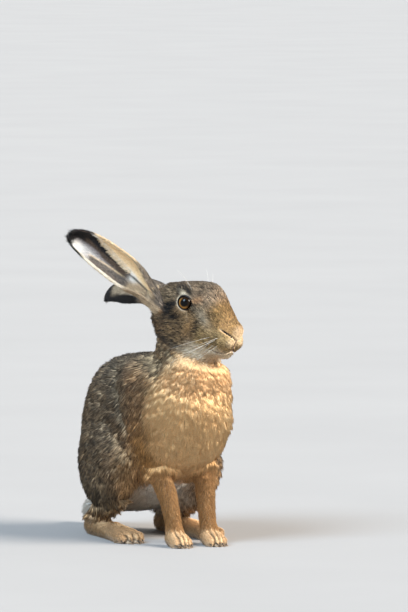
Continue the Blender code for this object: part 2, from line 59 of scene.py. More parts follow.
def unit(vectors):
    vectors = np.asarray(vectors, float)
    return vectors / np.maximum(np.linalg.norm(vectors, axis=-1, keepdims=True), 1e-9)


def step(low, high, values):
    """A smooth ramp from 0 at low to 1 at high."""
    share = np.clip((values - low) / (high - low), 0, 1)
    return share * share * (3 - 2 * share)


def mix(first, second, share):
    share = np.asarray(share, float)
    if np.ndim(first) > share.ndim or np.ndim(second) > share.ndim:
        share = share[..., None]
    return first * (1 - share) + second * share


def linear(*numbers):
    """A colour given by its display numbers from 0 to 255."""
    share = np.array(numbers, float) / 255
    return np.where(share <= 0.04045, share / 12.92, ((share + 0.055) / 1.055) ** 2.4)


# The head's frame and the hare's frame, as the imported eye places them.

YAW, PITCH = math.radians(32), math.radians(22)
LEVEL = np.array([math.sin(YAW), -math.cos(YAW), 0.0])
RISE = np.array([0.0, 0.0, 1.0])
HEAD = np.array(
    [
        LEVEL * math.cos(PITCH) - RISE * math.sin(PITCH),
        [math.cos(YAW), math.sin(YAW), 0.0],
        LEVEL * math.sin(PITCH) + RISE * math.cos(PITCH),
    ]
)
HEAD_ORIGIN = np.array([4.5, -122.0, 281.0])
EYE_PLACE = (0, 17, 0)
eye_low, eye_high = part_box("eye_right")
eye_middle = np.array((eye_low + eye_high) / 2) / MM
SHIFT = eye_middle - HEAD_ORIGIN - np.array([0, -17, 0]) @ HEAD
SHIFT[2] = 0


def on_head(points):
    return HEAD_ORIGIN + SHIFT + np.asarray(points, float) @ HEAD


def in_head(points):
    return (points - HEAD_ORIGIN - SHIFT) @ HEAD.T


def on_body(points):
    return np.asarray(points, float) * (1, -1, 1) + SHIFT


def in_body(points):
    return (points - SHIFT) * (1, -1, 1)


# Camera, floor and light.

CAMERA_AZIMUTH, CAMERA_ELEVATION = math.radians(-25), math.radians(4)
CAMERA_DISTANCE = 8.0
FIELD_HEIGHT = 0.704
AIM = np.array([22.4, -109.7, 274.9])


def add_object(name, data):
    obj = bpy.data.objects.new(name, data)
    bpy.context.scene.collection.objects.link(obj)
    return obj


def place_camera():
    azimuth, elevation = CAMERA_AZIMUTH, CAMERA_ELEVATION
    back = Vector(
        (
            math.sin(azimuth) * math.cos(elevation),
            -math.cos(azimuth) * math.cos(elevation),
            math.sin(elevation),
        )
    )
    data = bpy.data.cameras.new("camera")
    data.sensor_width = 36
    data.lens = data.sensor_width * CAMERA_DISTANCE / FIELD_HEIGHT
    data.clip_end = 120
    camera = add_object("camera", data)
    camera.location = Vector((AIM + SHIFT) * MM) + back * CAMERA_DISTANCE
    camera.rotation_euler = (-back).to_track_quat("-Z", "Y").to_euler()
    bpy.context.scene.camera = camera


def sun_light(name, azimuth, elevation, angle, strength, colour):
    """A broad distant light, so that the floor is lit evenly."""
    azimuth, elevation = math.radians(azimuth), math.radians(elevation)
    back = Vector(
        (
            math.sin(azimuth) * math.cos(elevation),
            -math.cos(azimuth) * math.cos(elevation),
            math.sin(elevation),
        )
    )
    data = bpy.data.lights.new(name, "SUN")
    data.energy = strength
    data.angle = math.radians(angle)
    data.color = colour
    light = add_object(name, data)
    light.rotation_euler = (-back).to_track_quat("-Z", "Y").to_euler()


def sky():
    """Soft light from all round: as pale as the floor at the horizon, dimmer above."""
    world = bpy.data.worlds.new("studio")
    world.use_nodes = True
    tree = world.node_tree
    background = tree.nodes["Background"]
    coordinates = tree.nodes.new("ShaderNodeTexCoord")
    parts = node_of(tree, "ShaderNodeSeparateXYZ", Vector=coordinates.outputs["Generated"])
    colour = ramp(
        tree,
        parts.outputs["Z"],
        [(0.05, (1.0, 1.0, 1.0)), (0.30, (0.58, 0.59, 0.62)), (1.0, (0.50, 0.53, 0.58))],
    )
    tree.links.new(colour, background.inputs["Color"])
    bpy.context.scene.world = world


def studio():
    sun_light("key", 40, 30, 34, 7.0, (1.0, 0.96, 0.91))
    sun_light("fill", -62, 43, 30, 4.2, (0.58, 0.78, 1.0))
    sky()
    bpy.context.scene.view_settings.view_transform = "Standard"
    mesh = bmesh.new()
    bmesh.ops.create_circle(mesh, cap_ends=True, segments=96, radius=70)
    data = bpy.data.meshes.new("floor")
    mesh.to_mesh(data)
    mesh.free()
    floor = add_object("floor", data)
    floor.data.materials.append(floor_material())


# Materials.


def node_of(tree, kind, **inputs):
    """A new node with values or links for its inputs."""
    node = tree.nodes.new(kind)
    for name, value in inputs.items():
        socket = node.inputs[name.replace("_", " ")]
        if isinstance(value, bpy.types.NodeSocket):
            tree.links.new(value, socket)
        else:
            socket.default_value = value
    return node


def new_material(name, **values):
    """A material, its node tree and its Principled shader."""
    made = bpy.data.materials.new(name)
    made.use_nodes = True
    shader = made.node_tree.nodes["Principled BSDF"]
    for key, value in values.items():
        shader.inputs[key.replace("_", " ")].default_value = value
    return made, made.node_tree, shader


def ramp(tree, factor, stops):
    """A colour ramp over (place, colour) stops."""
    node = tree.nodes.new("ShaderNodeValToRGB")
    tree.links.new(factor, node.inputs[0])
    elements = node.color_ramp.elements
    while len(elements) < len(stops):
        elements.new(0.5)
    for element, (place, colour) in zip(elements, stops):
        element.position = place
        element.color = (*colour, 1)
    return node.outputs["Color"]


def noise_node(tree, scale, detail=3.0, vector=None):
    coordinates = tree.nodes.new("ShaderNodeTexCoord")
    node = tree.nodes.new("ShaderNodeTexNoise")
    node.inputs["Scale"].default_value = scale
    node.inputs["Detail"].default_value = detail
    tree.links.new(vector or coordinates.outputs["Object"], node.inputs["Vector"])
    return node.outputs["Fac"]


def scaled_colour(tree, colour, factor, low, high):
    """The colour made darker and lighter by a factor that runs between two numbers."""
    span = node_of(tree, "ShaderNodeMapRange", Value=factor, To_Min=low, To_Max=high)
    span.inputs["From Min"].default_value = 0.3
    span.inputs["From Max"].default_value = 0.7
    scale = tree.nodes.new("ShaderNodeVectorMath")
    scale.operation = "SCALE"
    tree.links.new(colour, scale.inputs[0])
    tree.links.new(span.outputs["Result"], scale.inputs["Scale"])
    return scale.outputs["Vector"]


def attribute_colour(tree, name):
    node = tree.nodes.new("ShaderNodeAttribute")
    node.attribute_name = name
    return node.outputs["Color"]


def bumped(tree, shader, height, strength, distance):
    bump = node_of(tree, "ShaderNodeBump", Strength=strength, Distance=distance, Height=height)
    tree.links.new(bump.outputs["Normal"], shader.inputs["Normal"])


def coat_material():
    made, tree, shader = new_material("hare_coat", Roughness=0.75, Specular_IOR_Level=0.12)
    shader.inputs["Sheen Weight"].default_value = 0.02
    shader.inputs["Sheen Roughness"].default_value = 0.5
    fine = noise_node(tree, 700, 2)
    colour = scaled_colour(tree, attribute_colour(tree, "coat"), fine, 0.86, 1.14)
    tree.links.new(colour, shader.inputs["Base Color"])
    return made


def skin_material():
    """Skin and its shortest hairs: the coat's colours, broken up by a fine nap."""
    made, tree, shader = new_material("hare_skin", Specular_IOR_Level=0.3)
    nap = noise_node(tree, 1500, 4)
    patchy = noise_node(tree, 160, 3)
    colour = scaled_colour(tree, attribute_colour(tree, "coat"), nap, 0.78, 1.22)
    colour = scaled_colour(tree, colour, patchy, 0.92, 1.08)
    tree.links.new(colour, shader.inputs["Base Color"])
    rough = node_of(tree, "ShaderNodeMapRange", Value=patchy, To_Min=0.6, To_Max=0.85)
    tree.links.new(rough.outputs["Result"], shader.inputs["Roughness"])
    bumped(tree, shader, nap, 0.5, 0.0004)
    return made


def eye_material():
    """Dark pupil, streaked amber iris and dark rim under a wet surface, with painted shade from the upper lid
    over the top and front.
    """
    made, tree, shader = new_material(
        "hare_eye",
        Roughness=0.4,
        Specular_IOR_Level=0.0,
        Coat_Weight=0.7,
        Coat_Roughness=0.02,
        Coat_IOR=1.33,
    )
    place = tree.nodes.new("ShaderNodeAttribute")
    place.attribute_name = "eye_place"
    length = tree.nodes.new("ShaderNodeVectorMath")
    length.operation = "LENGTH"
    tree.links.new(place.outputs["Vector"], length.inputs[0])
    around = tree.nodes.new("ShaderNodeVectorMath")
    around.operation = "NORMALIZE"
    tree.links.new(place.outputs["Vector"], around.inputs[0])
    streaks = noise_node(tree, 9, 4, around.outputs["Vector"])
    iris = ramp(
        tree,
        length.outputs["Value"],
        [
            (0.00, (0.001, 0.001, 0.001)),
            (0.48, (0.001, 0.001, 0.001)),
            (0.55, (0.050, 0.022, 0.005)),
            (0.64, (0.21, 0.095, 0.018)),
            (0.78, (0.25, 0.112, 0.022)),
            (0.88, (0.060, 0.025, 0.006)),
            (0.93, (0.010, 0.006, 0.004)),
            (1.00, (0.005, 0.004, 0.003)),
        ],
    )
    colour = scaled_colour(tree, iris, streaks, 0.55, 1.5)
    # Painted shade: the iris is darkened towards its top and front, standing in for the upper lid's shadow.
    parts = node_of(tree, "ShaderNodeSeparateXYZ", Vector=place.outputs["Vector"])
    tilted = tree.nodes.new("ShaderNodeMath")
    tilted.operation = "MULTIPLY_ADD"
    tree.links.new(parts.outputs["X"], tilted.inputs[0])
    tilted.inputs[1].default_value = 0.45
    tree.links.new(parts.outputs["Y"], tilted.inputs[2])
    painted_lid_shade = node_of(tree, "ShaderNodeMapRange", Value=tilted.outputs[0], To_Min=1.1, To_Max=0.05)
    painted_lid_shade.inputs["From Min"].default_value = -0.35
    painted_lid_shade.inputs["From Max"].default_value = 0.27
    shaded = tree.nodes.new("ShaderNodeVectorMath")
    shaded.operation = "SCALE"
    tree.links.new(colour, shaded.inputs[0])
    tree.links.new(painted_lid_shade.outputs["Result"], shaded.inputs["Scale"])
    tree.links.new(shaded.outputs["Vector"], shader.inputs["Base Color"])
    return made


def plain_material(name, dark, light, scale, roughness, bump=0.0003, specular=0.5):
    """A small part's material: two tones in fine noise, with a little relief."""
    made, tree, shader = new_material(name, Roughness=roughness, Specular_IOR_Level=specular)
    fine = noise_node(tree, scale, 4)
    colour = ramp(tree, fine, [(0.3, dark), (0.7, light)])
    tree.links.new(colour, shader.inputs["Base Color"])
    bumped(tree, shader, fine, 0.3, bump)
    return made


def floor_material():
    made, tree, shader = new_material("floor", Roughness=0.85, Specular_IOR_Level=0.2)
    fine = noise_node(tree, 3, 4)
    colour = ramp(tree, fine, [(0.3, (0.330, 0.311, 0.291)), (0.7, (0.345, 0.325, 0.304))])
    tree.links.new(colour, shader.inputs["Base Color"])
    return made


# The ears' own coordinates.



def direction(left, forward, up):
    return unit([left, -forward, up])


EARS = {
    "right": {
        "root": (-22, -15, -21),
        "length": 145,
        "start": direction(-0.566, -0.351, 0.746),
        "end": direction(-0.763, -0.478, 0.435),
        "opens": direction(-0.397, 0.851, -0.342),
        "narrowed": 0.0,
    },
    "left": {
        "root": (-22, 15, -19),
        "length": 142,
        "start": direction(-0.15, -0.945, 0.335),
        "end": direction(-0.28, -0.90, -0.33),
        "opens": direction(0.46, -0.10, -0.88),
        "narrowed": 0.27,
    },
}
# Share of the length, radius of the curl, front and rear margins' angles in degrees.
EAR_SECTIONS = np.array(
    [
        (0.00, 11.8, 165, 165),
        (0.12, 12.4, 165, 160),
        (0.20, 12.5, 162, 150),
        (0.28, 13.4, 152, 132),
        (0.36, 15.6, 136, 108),
        (0.46, 17.3, 116, 80),
        (0.58, 17.8, 102, 64),
        (0.70, 18.0, 90, 58),
        (0.80, 17.6, 78, 54),
        (0.88, 16.2, 70, 50),
        (0.94, 13.4, 64, 47),
        (0.98, 9.6, 58, 43),
        (1.00, 5.5, 52, 40),
    ]
)


def ear_frame(word, share):
    """The ear's middle line, the way it runs, the way it opens and the way to its front margin."""
    ear = EARS[word]
    turn = ear["end"] - ear["start"]
    share = share[:, None]
    reach = ear["start"] * share + turn * share**2 / 2
    along = unit(ear["start"] + turn * share)
    centre = on_head([ear["root"]]) + reach * ear["length"]
    opens = ear["opens"] - along * (along @ ear["opens"])[:, None]
    opens = unit(opens)
    front = np.cross(along, opens) * SIDES[word]
    return centre, along, opens, front


def ear_places(word, points):
    """Each point's share of the ear's length, its angle round the curl and its radius over the sheet's."""
    long = EARS[word]["length"]
    share = np.clip((points - on_head([EARS[word]["root"]])) @ EARS[word]["start"] / long, 0, 1)
    for _ in range(6):
        centre, along, opens, front = ear_frame(word, share)
        share = np.clip(share + ((points - centre) * along).sum(1) / long, -0.1, 1.05)
    centre, along, opens, front = ear_frame(word, share)
    out = points - centre
    across, back = (out * front).sum(1), -(out * opens).sum(1)
    radius = np.hypot(across, back) / np.interp(share, EAR_SECTIONS[:, 0], EAR_SECTIONS[:, 1])
    return share, np.degrees(np.arctan2(across, back)), radius


def ear_margins(word, share):
    """The front and the rear margin's angles."""
    front, rear = (np.interp(share, EAR_SECTIONS[:, 0], EAR_SECTIONS[:, k]) for k in (2, 3))
    return front * (1 - EARS[word]["narrowed"] * np.exp(-(((share - 0.36) / 0.2) ** 2))), rear


# The eyes' places.

EYE_RADIUS = 9.4
# Half the opening's length and height, measured over the ball's surface.
LID_HALF_LONG, LID_HALF_HIGH = 10.0, 7.9


def eye_axes(side):
    """The eye's centre, its line of sight, its long way and its upright."""
    centre = on_head([(0, 17 * side, 0)])[0]
    looks = unit(np.array([0.22, 0.96 * side, 0.14]) @ HEAD)
    long_way = np.array([0.97, 0, -0.14]) @ HEAD
    long_way = unit(long_way - looks * (long_way @ looks))
    upright = unit(np.cross(looks, long_way)) * -side
    return centre, looks, long_way, upright


def lid_outline(angle):
    """How far the opening reaches at an angle, over its ellipse: longer at the inner corner."""
    corner = (angle + 0.42 + np.pi) % (2 * np.pi) - np.pi
    rear = (angle - 2.9 + np.pi) % (2 * np.pi) - np.pi
    return 1 + 0.26 * np.exp(-((corner / 0.30) ** 2)) + 0.04 * np.exp(-((rear / 0.4) ** 2))


def eye_places(points, side):
    """Where points lie over the opening: its share (1 on the edge) and the distance from the ball's centre."""
    centre, looks, long_way, upright = eye_axes(side)
    out = points - centre
    far = np.linalg.norm(out, axis=1)
    out = out / far[:, None]
    flat = np.stack([out @ long_way, out @ upright], 1)
    arc = EYE_RADIUS * np.arccos(np.clip(out @ looks, -1, 1))
    flat = unit(flat) * arc[:, None]
    across, high = flat[:, 0] / LID_HALF_LONG, flat[:, 1] / LID_HALF_HIGH
    return np.hypot(across, high) / lid_outline(np.arctan2(high, across)), far, out


def lid_way(side, turn, share):
    """The direction from the ball's centre to a share of the opening, at a turn round it."""
    centre, looks, long_way, upright = eye_axes(side)
    reach = lid_outline(np.array(turn)) * share
    flat = long_way * LID_HALF_LONG * math.cos(turn) + upright * LID_HALF_HIGH * math.sin(turn)
    arc = np.linalg.norm(flat) * reach / EYE_RADIUS
    return looks * math.cos(arc) + unit(flat) * math.sin(arc)


# The skin.

SKIN_VOXEL = 1.3
SWELL = 0.4
EYE_FILL = 11.5


def flesh():
    """All flesh nodes, each swollen a little so that they meet, remade as one even mesh."""
    whole = bmesh.new()
    for name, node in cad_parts.items():
        if name.startswith("eye_"):
            continue
        piece = bmesh.new()
        piece.from_mesh(node.data)
        bmesh.ops.remove_doubles(piece, verts=piece.verts, dist=1e-6)
        piece.normal_update()
        for vertex in piece.verts:
            vertex.co += vertex.normal * SWELL * MM
        swollen = bpy.data.meshes.new("swollen")
        piece.to_mesh(swollen)
        piece.free()
        whole.from_mesh(swollen)
        bpy.data.meshes.remove(swollen)
    for side in SIDES.values():
        centre = Vector(eye_axes(side)[0] * MM)
        bmesh.ops.create_uvsphere(
            whole,
            u_segments=40,
            v_segments=24,
            radius=EYE_FILL * MM,
            matrix=Matrix.Translation(centre),
        )
    data = bpy.data.meshes.new("flesh")
    whole.to_mesh(data)
    whole.free()
    body = add_object("flesh", data)
    remesh = body.modifiers.new("whole", "REMESH")
    remesh.mode = "VOXEL"
    remesh.voxel_size = SKIN_VOXEL * MM
    graph = bpy.context.evaluated_depsgraph_get()
    made = bpy.data.meshes.new_from_object(body.evaluated_get(graph))
    bpy.data.objects.remove(body)
    return made


def vertex_places(mesh):
    places = np.empty(len(mesh.vertices) * 3, np.float32)
    mesh.vertices.foreach_get("co", places)
    return places.reshape(-1, 3).astype(float) / MM


def set_places(mesh, places):
    mesh.vertices.foreach_set("co", (places * MM).astype(np.float32).ravel())
    mesh.update()


def vertex_normals(mesh):
    normals = np.empty(len(mesh.vertices) * 3, np.float32)
    mesh.vertex_normals.foreach_get("vector", normals)
    return normals.reshape(-1, 3).astype(float)


class Net:
    """The mesh's edges, for averaging values over neighbours."""

    def __init__(self, mesh):
        ends = np.empty(len(mesh.edges) * 2, np.int32)
        mesh.edges.foreach_get("vertices", ends)
        self.first, self.second = ends.reshape(-1, 2).T
        self.count = len(mesh.vertices)
        self.degree = np.bincount(ends, minlength=self.count).astype(float)

    def average(self, values):
        flat = values.reshape(self.count, -1)
        found = np.empty_like(flat)
        for k in range(flat.shape[1]):
            found[:, k] = np.bincount(self.first, flat[self.second, k], self.count)
            found[:, k] += np.bincount(self.second, flat[self.first, k], self.count)
        return (found / self.degree[:, None]).reshape(values.shape)

    def spread(self, values, rounds):
        values = values.astype(float)
        for _ in range(rounds):
            values = values * 0.4 + self.average(values) * 0.6
        return values

    def fair(self, places, rounds, weight):
        """Takes out the facets and keeps the volume."""
        weight = weight[:, None]
        for _ in range(rounds):
            places = places + weight * 0.55 * (self.average(places) - places)
            places = places - weight * 0.57 * (self.average(places) - places)
        return places


def refine(mesh):
    """Halves the faces of the muzzle and round the eyes."""
    whole = bmesh.new()
    whole.from_mesh(mesh)
    places = vertex_places(mesh)
    head = in_head(places)
    muzzle = (head[:, 0] > 36) & (abs(head[:, 1]) < 40) & (head[:, 2] > -60) & (head[:, 2] < 20)
    fine = muzzle & (head[:, 0] < 90)
    for side in SIDES.values():
        fine |= np.linalg.norm(places - eye_axes(side)[0], axis=1) < 17
    edges = [e for e in whole.edges if fine[e.verts[0].index] and fine[e.verts[1].index]]
    bmesh.ops.subdivide_edges(whole, edges=edges, cuts=1, use_grid_fill=True)
    bmesh.ops.triangulate(whole, faces=[f for f in whole.faces if len(f.verts) > 4])
    whole.to_mesh(mesh)
    whole.free()


def nearest_nodes(places):
    """The name of the flesh node nearest to each point, as a number, and the names."""
    names = [name for name in sorted(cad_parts) if not name.startswith("eye_")]
    corners, faces, owners = [], [], []
    for number, name in enumerate(names):
        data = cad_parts[name].data
        data.calc_loop_triangles()
        start = len(corners)
        corners += [vertex.co for vertex in data.vertices]
        for triangle in data.loop_triangles:
            faces.append([start + i for i in triangle.vertices])
            owners.append(number)
    tree = BVHTree.FromPolygons(corners, faces)
    owners = np.array(owners)
    found = np.array([tree.find_nearest(Vector(place))[2] for place in places * MM])
    return owners[found], names


def carried(anchors, points, reach):
    """Values carried from a few places to every point; the nearest places weigh most."""
    places = np.array([place for place, _ in anchors], float)
    values = np.array([value for _, value in anchors], float)
    far = ((points[:, None, :] - places[None]) ** 2).sum(2)
    weights = 1 / (far + reach**2) ** 2
    return (weights @ values) / weights.sum(1)[:, None]


def both_sides(anchors, across):
    """The anchors and their mirror images, across being the index that changes sign."""
    made = []
    for place, value in anchors:
        made.append((place, value))
        if place[across]:
            flipped_place, flipped = list(place), list(value)
            flipped_place[across] *= -1
            flipped[across] *= -1
            made.append((flipped_place, flipped))
    return made


# The lie of the coat: a place on the left or the middle, and the way its hairs lie.
BODY_LIE = [
    ((0, 95, 235), (0, -0.9, -0.4)),
    ((0, 50, 222), (0, -1, -0.1)),
    ((0, 0, 220), (0, -1, -0.15)),
    ((0, -60, 190), (0, -0.85, -0.5)),
    ((0, -95, 120), (0, -0.3, -0.95)),
    ((45, 60, 205), (0.15, -0.9, -0.45)),
    ((60, 0, 180), (0.05, -0.85, -0.5)),
    ((62, -60, 150), (0, -0.8, -0.6)),
    ((60, 60, 150), (0.05, -0.6, -0.8)),
    ((55, 100, 150), (0.1, -0.35, -0.95)),
    ((50, 115, 190), (0.25, -0.3, -0.9)),
    ((66, 30, 110), (0, -0.7, -0.7)),
    ((75, 0, 90), (0, -0.65, -0.75)),
    ((78, -40, 80), (0, -0.75, -0.65)),
    ((70, 50, 80), (0, -0.4, -0.9)),
    ((60, -75, 60), (0, -0.6, -0.8)),
    ((48, -60, 25), (0, -0.5, -0.7)),
    ((60, 0, 30), (0.1, 0.1, -1)),
    ((52, 45, 20), (0, 1, -0.2)),
    ((52, 75, 10), (0, 1, -0.35)),
    ((24, 110, 60), (0, -0.05, -1)),
    ((24, 122, 30), (0, 0.1, -1)),
    ((24, 140, 12), (0, 0.95, -0.35)),
    ((24, 150, 6), (0, 1, -0.4)),
    ((0, 160, 160), (0, 0.15, -1)),
    ((28, 150, 150), (0.22, 0.0, -1)),
    ((0, 150, 195), (0, 0.3, -0.95)),
    ((32, 135, 190), (0.25, 0.1, -0.95)),
    ((0, 140, 100), (0, -0.2, -1)),
    ((0, 60, 55), (0, -1, -0.1)),
    ((0, 0, 35), (0, -1, 0)),
    ((0, -100, 45), (0, -1, -0.3)),
    ((0, -150, 18), (0, -1, -0.15)),
]
HEAD_LIE = [
    ((69, 0, -12), (-0.6, 0, 0.7)),
    ((60, 0, 4), (-1, 0, 0.35)),
    ((30, 0, 24), (-1, 0, 0.3)),
    ((5, 0, 28), (-1, 0, 0)),
    ((-25, 0, 16), (-0.9, 0, -0.4)),
    ((-45, 0, -5), (-0.5, 0, -0.85)),
    ((62, 11, -8), (-0.9, 0.3, 0.25)),
    ((50, 18, -8), (-1, 0.1, 0.2)),
    ((64, 9, -26), (-0.6, 0.5, -0.5)),
    ((52, 19, -30), (-0.95, 0.15, -0.3)),
    ((57, 8, -46), (-0.95, 0, -0.3)),
    ((35, 21, -20), (-1, 0.05, -0.05)),
    ((20, 25, -30), (-1, 0, -0.3)),
    ((20, 22, 5), (-1, 0.1, 0.2)),
    ((0, 25, -20), (-1, 0, -0.25)),
    ((-15, 27, -25), (-0.9, 0.05, -0.5)),
    ((-30, 24, -30), (-0.7, 0, -0.75)),
    ((0, 20, 20), (-1, 0.1, 0.05)),
    ((-20, 24, 0), (-0.95, 0, -0.3)),
    ((10, 12, -53), (-1, 0, -0.1)),
    ((-25, 10, -50), (-0.6, 0, -0.8)),
]


class Coat:
    """Everything that the skin's vertices know about the coat that grows there."""


def ear_vertex_sets(labels, names, places):
    sets = {}
    for word in SIDES:
        index = np.nonzero(labels == names.index("ear_" + word))[0]
        sets[word] = (index, *ear_places(word, places[index]))
    return sets


def groove_distance(places, guide, tree, samples=12):
    """How far points lie from a line over the surface through guide points of the head's frame."""
    guide = np.array(guide, float)
    steps = np.linspace(0, len(guide) - 1, samples * (len(guide) - 1) + 1)
    line = np.stack([np.interp(steps, range(len(guide)), guide[:, k]) for k in range(3)], 1)
    line = np.array([tree.find(Vector(point))[0] for point in on_head(line)])
    near = np.nonzero(np.linalg.norm(places - line.mean(0), axis=1) < 40)[0]
    far = np.full(len(places), 99.0)
    gaps = np.linalg.norm(places[near][:, None] - line[None], axis=2)
    far[near] = gaps.min(1)
    along = np.zeros(len(places))
    along[near] = gaps.argmin(1) / (len(line) - 1)
    return far, along


def kd_of(points):
    tree = KDTree(len(points))
    for i, point in enumerate(points):
        tree.insert(point, i)
    tree.balance()
    return tree


def field_noise(places, scale, seed):
    """Smooth noise at each point, about -1 to 1, with features of that size in millimetres."""
    offset = Vector((seed * 17.3, seed * 5.1, seed * 9.7))
    return np.array([noise.noise(Vector(place) / scale + offset) for place in places])


# Colours of hair, each a light and a dark tone.
BACK = linear(156, 136, 108), linear(44, 37, 32)
RUMP = linear(152, 136, 116), linear(44, 39, 35)
SHOULDER = linear(178, 144, 106), linear(54, 41, 31)
SHOULDER_LOW = linear(198, 150, 92), linear(74, 50, 32)
CHEST = linear(255, 216, 160), linear(255, 202, 140)
THROAT = linear(252, 208, 154), linear(210, 162, 112)
BELLY = linear(240, 234, 224), linear(190, 178, 160)
LEG = linear(232, 182, 124), linear(138, 98, 62)
FOOT = linear(236, 206, 164), linear(152, 122, 90)
CROWN = linear(188, 156, 122), linear(52, 42, 35)
CHEEK = linear(172, 138, 96), linear(38, 31, 26)
NAPE = linear(172, 148, 114), linear(54, 46, 38)
BRIDGE = linear(184, 142, 86), linear(90, 64, 40)
MUZZLE = linear(195, 161, 108), linear(100, 76, 48)
CREAM = linear(244, 226, 196), linear(176, 152, 120)
DARK = linear(42, 36, 31), linear(18, 16, 15)
GREY = linear(202, 182, 152), linear(122, 104, 82)
TAN = linear(206, 160, 104), linear(116, 84, 52)
ORANGE = linear(236, 160, 90), linear(168, 106, 56)
WHITE = linear(246, 240, 228), linear(200, 188, 170)
BLACK = linear(38, 35, 34), linear(18, 17, 17)
EAR_BUFF = linear(255, 224, 176), linear(222, 182, 134)
EAR_BASE = linear(222, 190, 150), linear(108, 84, 62)
EAR_BACK = linear(150, 132, 112), linear(66, 56, 48)
EAR_WHITE = linear(250, 242, 230), linear(210, 196, 178)
EAR_EDGE = linear(255, 238, 212), linear(226, 202, 170)
# Painted shade inside the ear's hollow, greying its white field.
EAR_PAINTED_SHADE = linear(172, 160, 154), linear(120, 106, 98)
EAR_GREY = linear(128, 114, 102), linear(66, 56, 48)
EAR_BROWN = linear(98, 78, 62), linear(50, 38, 30)
EAR_BLACK = linear(36, 32, 31), linear(16, 14, 14)


def soften_trunk(net, places):
    """Evens out the creases where neck, chest and back meet, clear of the head and the legs."""
    body, head = in_body(places), in_head(places)
    weight = step(92, 120, body[:, 2]) * step(-30, -62, head[:, 2] + 0.25 * abs(head[:, 0]))
    away = head[:, 0] < -60
    weight = np.where(away, step(92, 120, body[:, 2]) * step(262, 240, body[:, 2]), weight)
    for word in SIDES:
        share, _, radius = ear_places(word, places)
        weight = weight * (1 - step(2.2, 1.6, radius) * step(-0.1, 0.02, share))
    weight = (net.spread(weight, 12) * 0.6)[:, None]
    for _ in range(110):
        places = places + weight * (net.average(places) - places)
    return places


def build_skin():
    """The skin's mesh, faired and refined, with its net of edges and its vertices' places."""
    mesh = flesh()
    net = Net(mesh)
    places = vertex_places(mesh)
    places = net.fair(places, 36, np.ones(net.count))
    places = soften_trunk(net, places)
    set_places(mesh, places)
    refine(mesh)
    net = Net(mesh)
    places = vertex_places(mesh)
    head = in_head(places)
    fresh = ((head[:, 0] > 30) & (head[:, 0] < 95)).astype(float)
    for side in SIDES.values():
        fresh = np.maximum(fresh, np.linalg.norm(places - eye_axes(side)[0], axis=1) < 19)
    places = net.fair(places, 4, fresh)
    set_places(mesh, places)
    return mesh, net, places


# The dip between the shoulder and the back, sunk deeper and darkened with painted shade: points on the left
# flank.
HOLLOW = [(38, 12, 200), (43, 22, 192), (49, 36, 175), (52, 46, 158), (52, 60, 142)]


def hollow_behind_shoulder(body):
    mirrored = body * np.where(body[:, :1] < 0, -1, 1) ** np.array([1, 0, 0])
    guide = np.array(HOLLOW, float)
    steps = np.linspace(0, len(guide) - 1, 41)
    line = np.stack([np.interp(steps, range(len(guide)), guide[:, k]) for k in range(3)], 1)
    far = np.linalg.norm(mirrored[:, None] - line[None], axis=2).min(1)
    return np.exp(-((far / 7.5) ** 2))


def head_masks(head):
    """Round marks on the sides of the head, each from its middle, size and turn."""
    forward, up = head[:, 0], head[:, 2]

    def spot(middle, radii, turn=0.0):
        turn = math.radians(turn)
        ahead, above = forward - middle[0], up - middle[1]
        along = ahead * math.cos(turn) + above * math.sin(turn)
        across = above * math.cos(turn) - ahead * math.sin(turn)
        return np.exp(-((along / radii[0]) ** 2) - (across / radii[1]) ** 2)

    return spot


def tint(coat, pair, mask):
    mask = np.clip(mask, 0, 1)
    coat.light = mix(coat.light, pair[0], mask)
    coat.dark = mix(coat.dark, pair[1], mask)


def paint_body(coat, weight, body, normals):
    """Markings of the trunk, legs and tail, with painted shade in the dip behind the shoulder and under the
    jaw.
    """
    aside, ahead, up = abs(body[:, 0]), body[:, 1], body[:, 2]
    coat.light = np.tile(BACK[0], (len(body), 1))
    coat.dark = np.tile(BACK[1], (len(body), 1))
    tint(coat, RUMP, step(-20, -80, ahead))
    tint(coat, SHOULDER, step(45, 85, ahead) * step(232, 205, up))
    tint(coat, SHOULDER_LOW, step(60, 95, ahead) * step(175, 120, up))
    tint(coat, LEG, step(110, 70, up) * step(30, 90, ahead) * step(75, 55, aside))
    tint(coat, CHEST, step(96, 136, ahead + 0.25 * (30 - aside)) * step(240, 215, up))
    tint(coat, BELLY, step(80, 55, up) * step(-0.2, -0.7, normals[:, 2]) * step(45, 30, aside))
    tint(coat, THROAT, weight["neck"] * step(100, 128, ahead))
    tint(coat, NAPE, weight["neck"] * step(144, 118, ahead - 0.5 * (up - 225)))
    # Painted shade under the jaw: the top of the neck is darkened with the nape's grizzled tones.
    tint(coat, NAPE, weight["neck"] * 0.8 * step(226, 236, up))
    # Painted shade: the dip behind the shoulder is darkened like a crease in shadow.
    tint(coat, DARK, coat.hollow)
    haunch = weight["haunch_right"] + weight["haunch_left"]
    tint(coat, SHOULDER, 0.45 * haunch * step(20, 60, ahead))
    tint(coat, SHOULDER_LOW, 0.6 * haunch * step(50, 25, up))
    legs = weight["foreleg_right"] + weight["foreleg_left"]
    feet = sum(weight[f"{kind}_{word}"] for kind in ("forepaw", "hind_foot") for word in SIDES)
    tint(coat, LEG, legs + feet)
    tint(coat, FOOT, 0.5 * feet)
    tint(coat, WHITE, feet * 0.3 * step(0.2, -0.4, normals[:, 2]))
    tail = weight["tail"]
    tint(coat, WHITE, tail)
    tint(coat, BLACK, tail * step(0.1, 0.5, normals[:, 2]) * step(16, 11, aside))


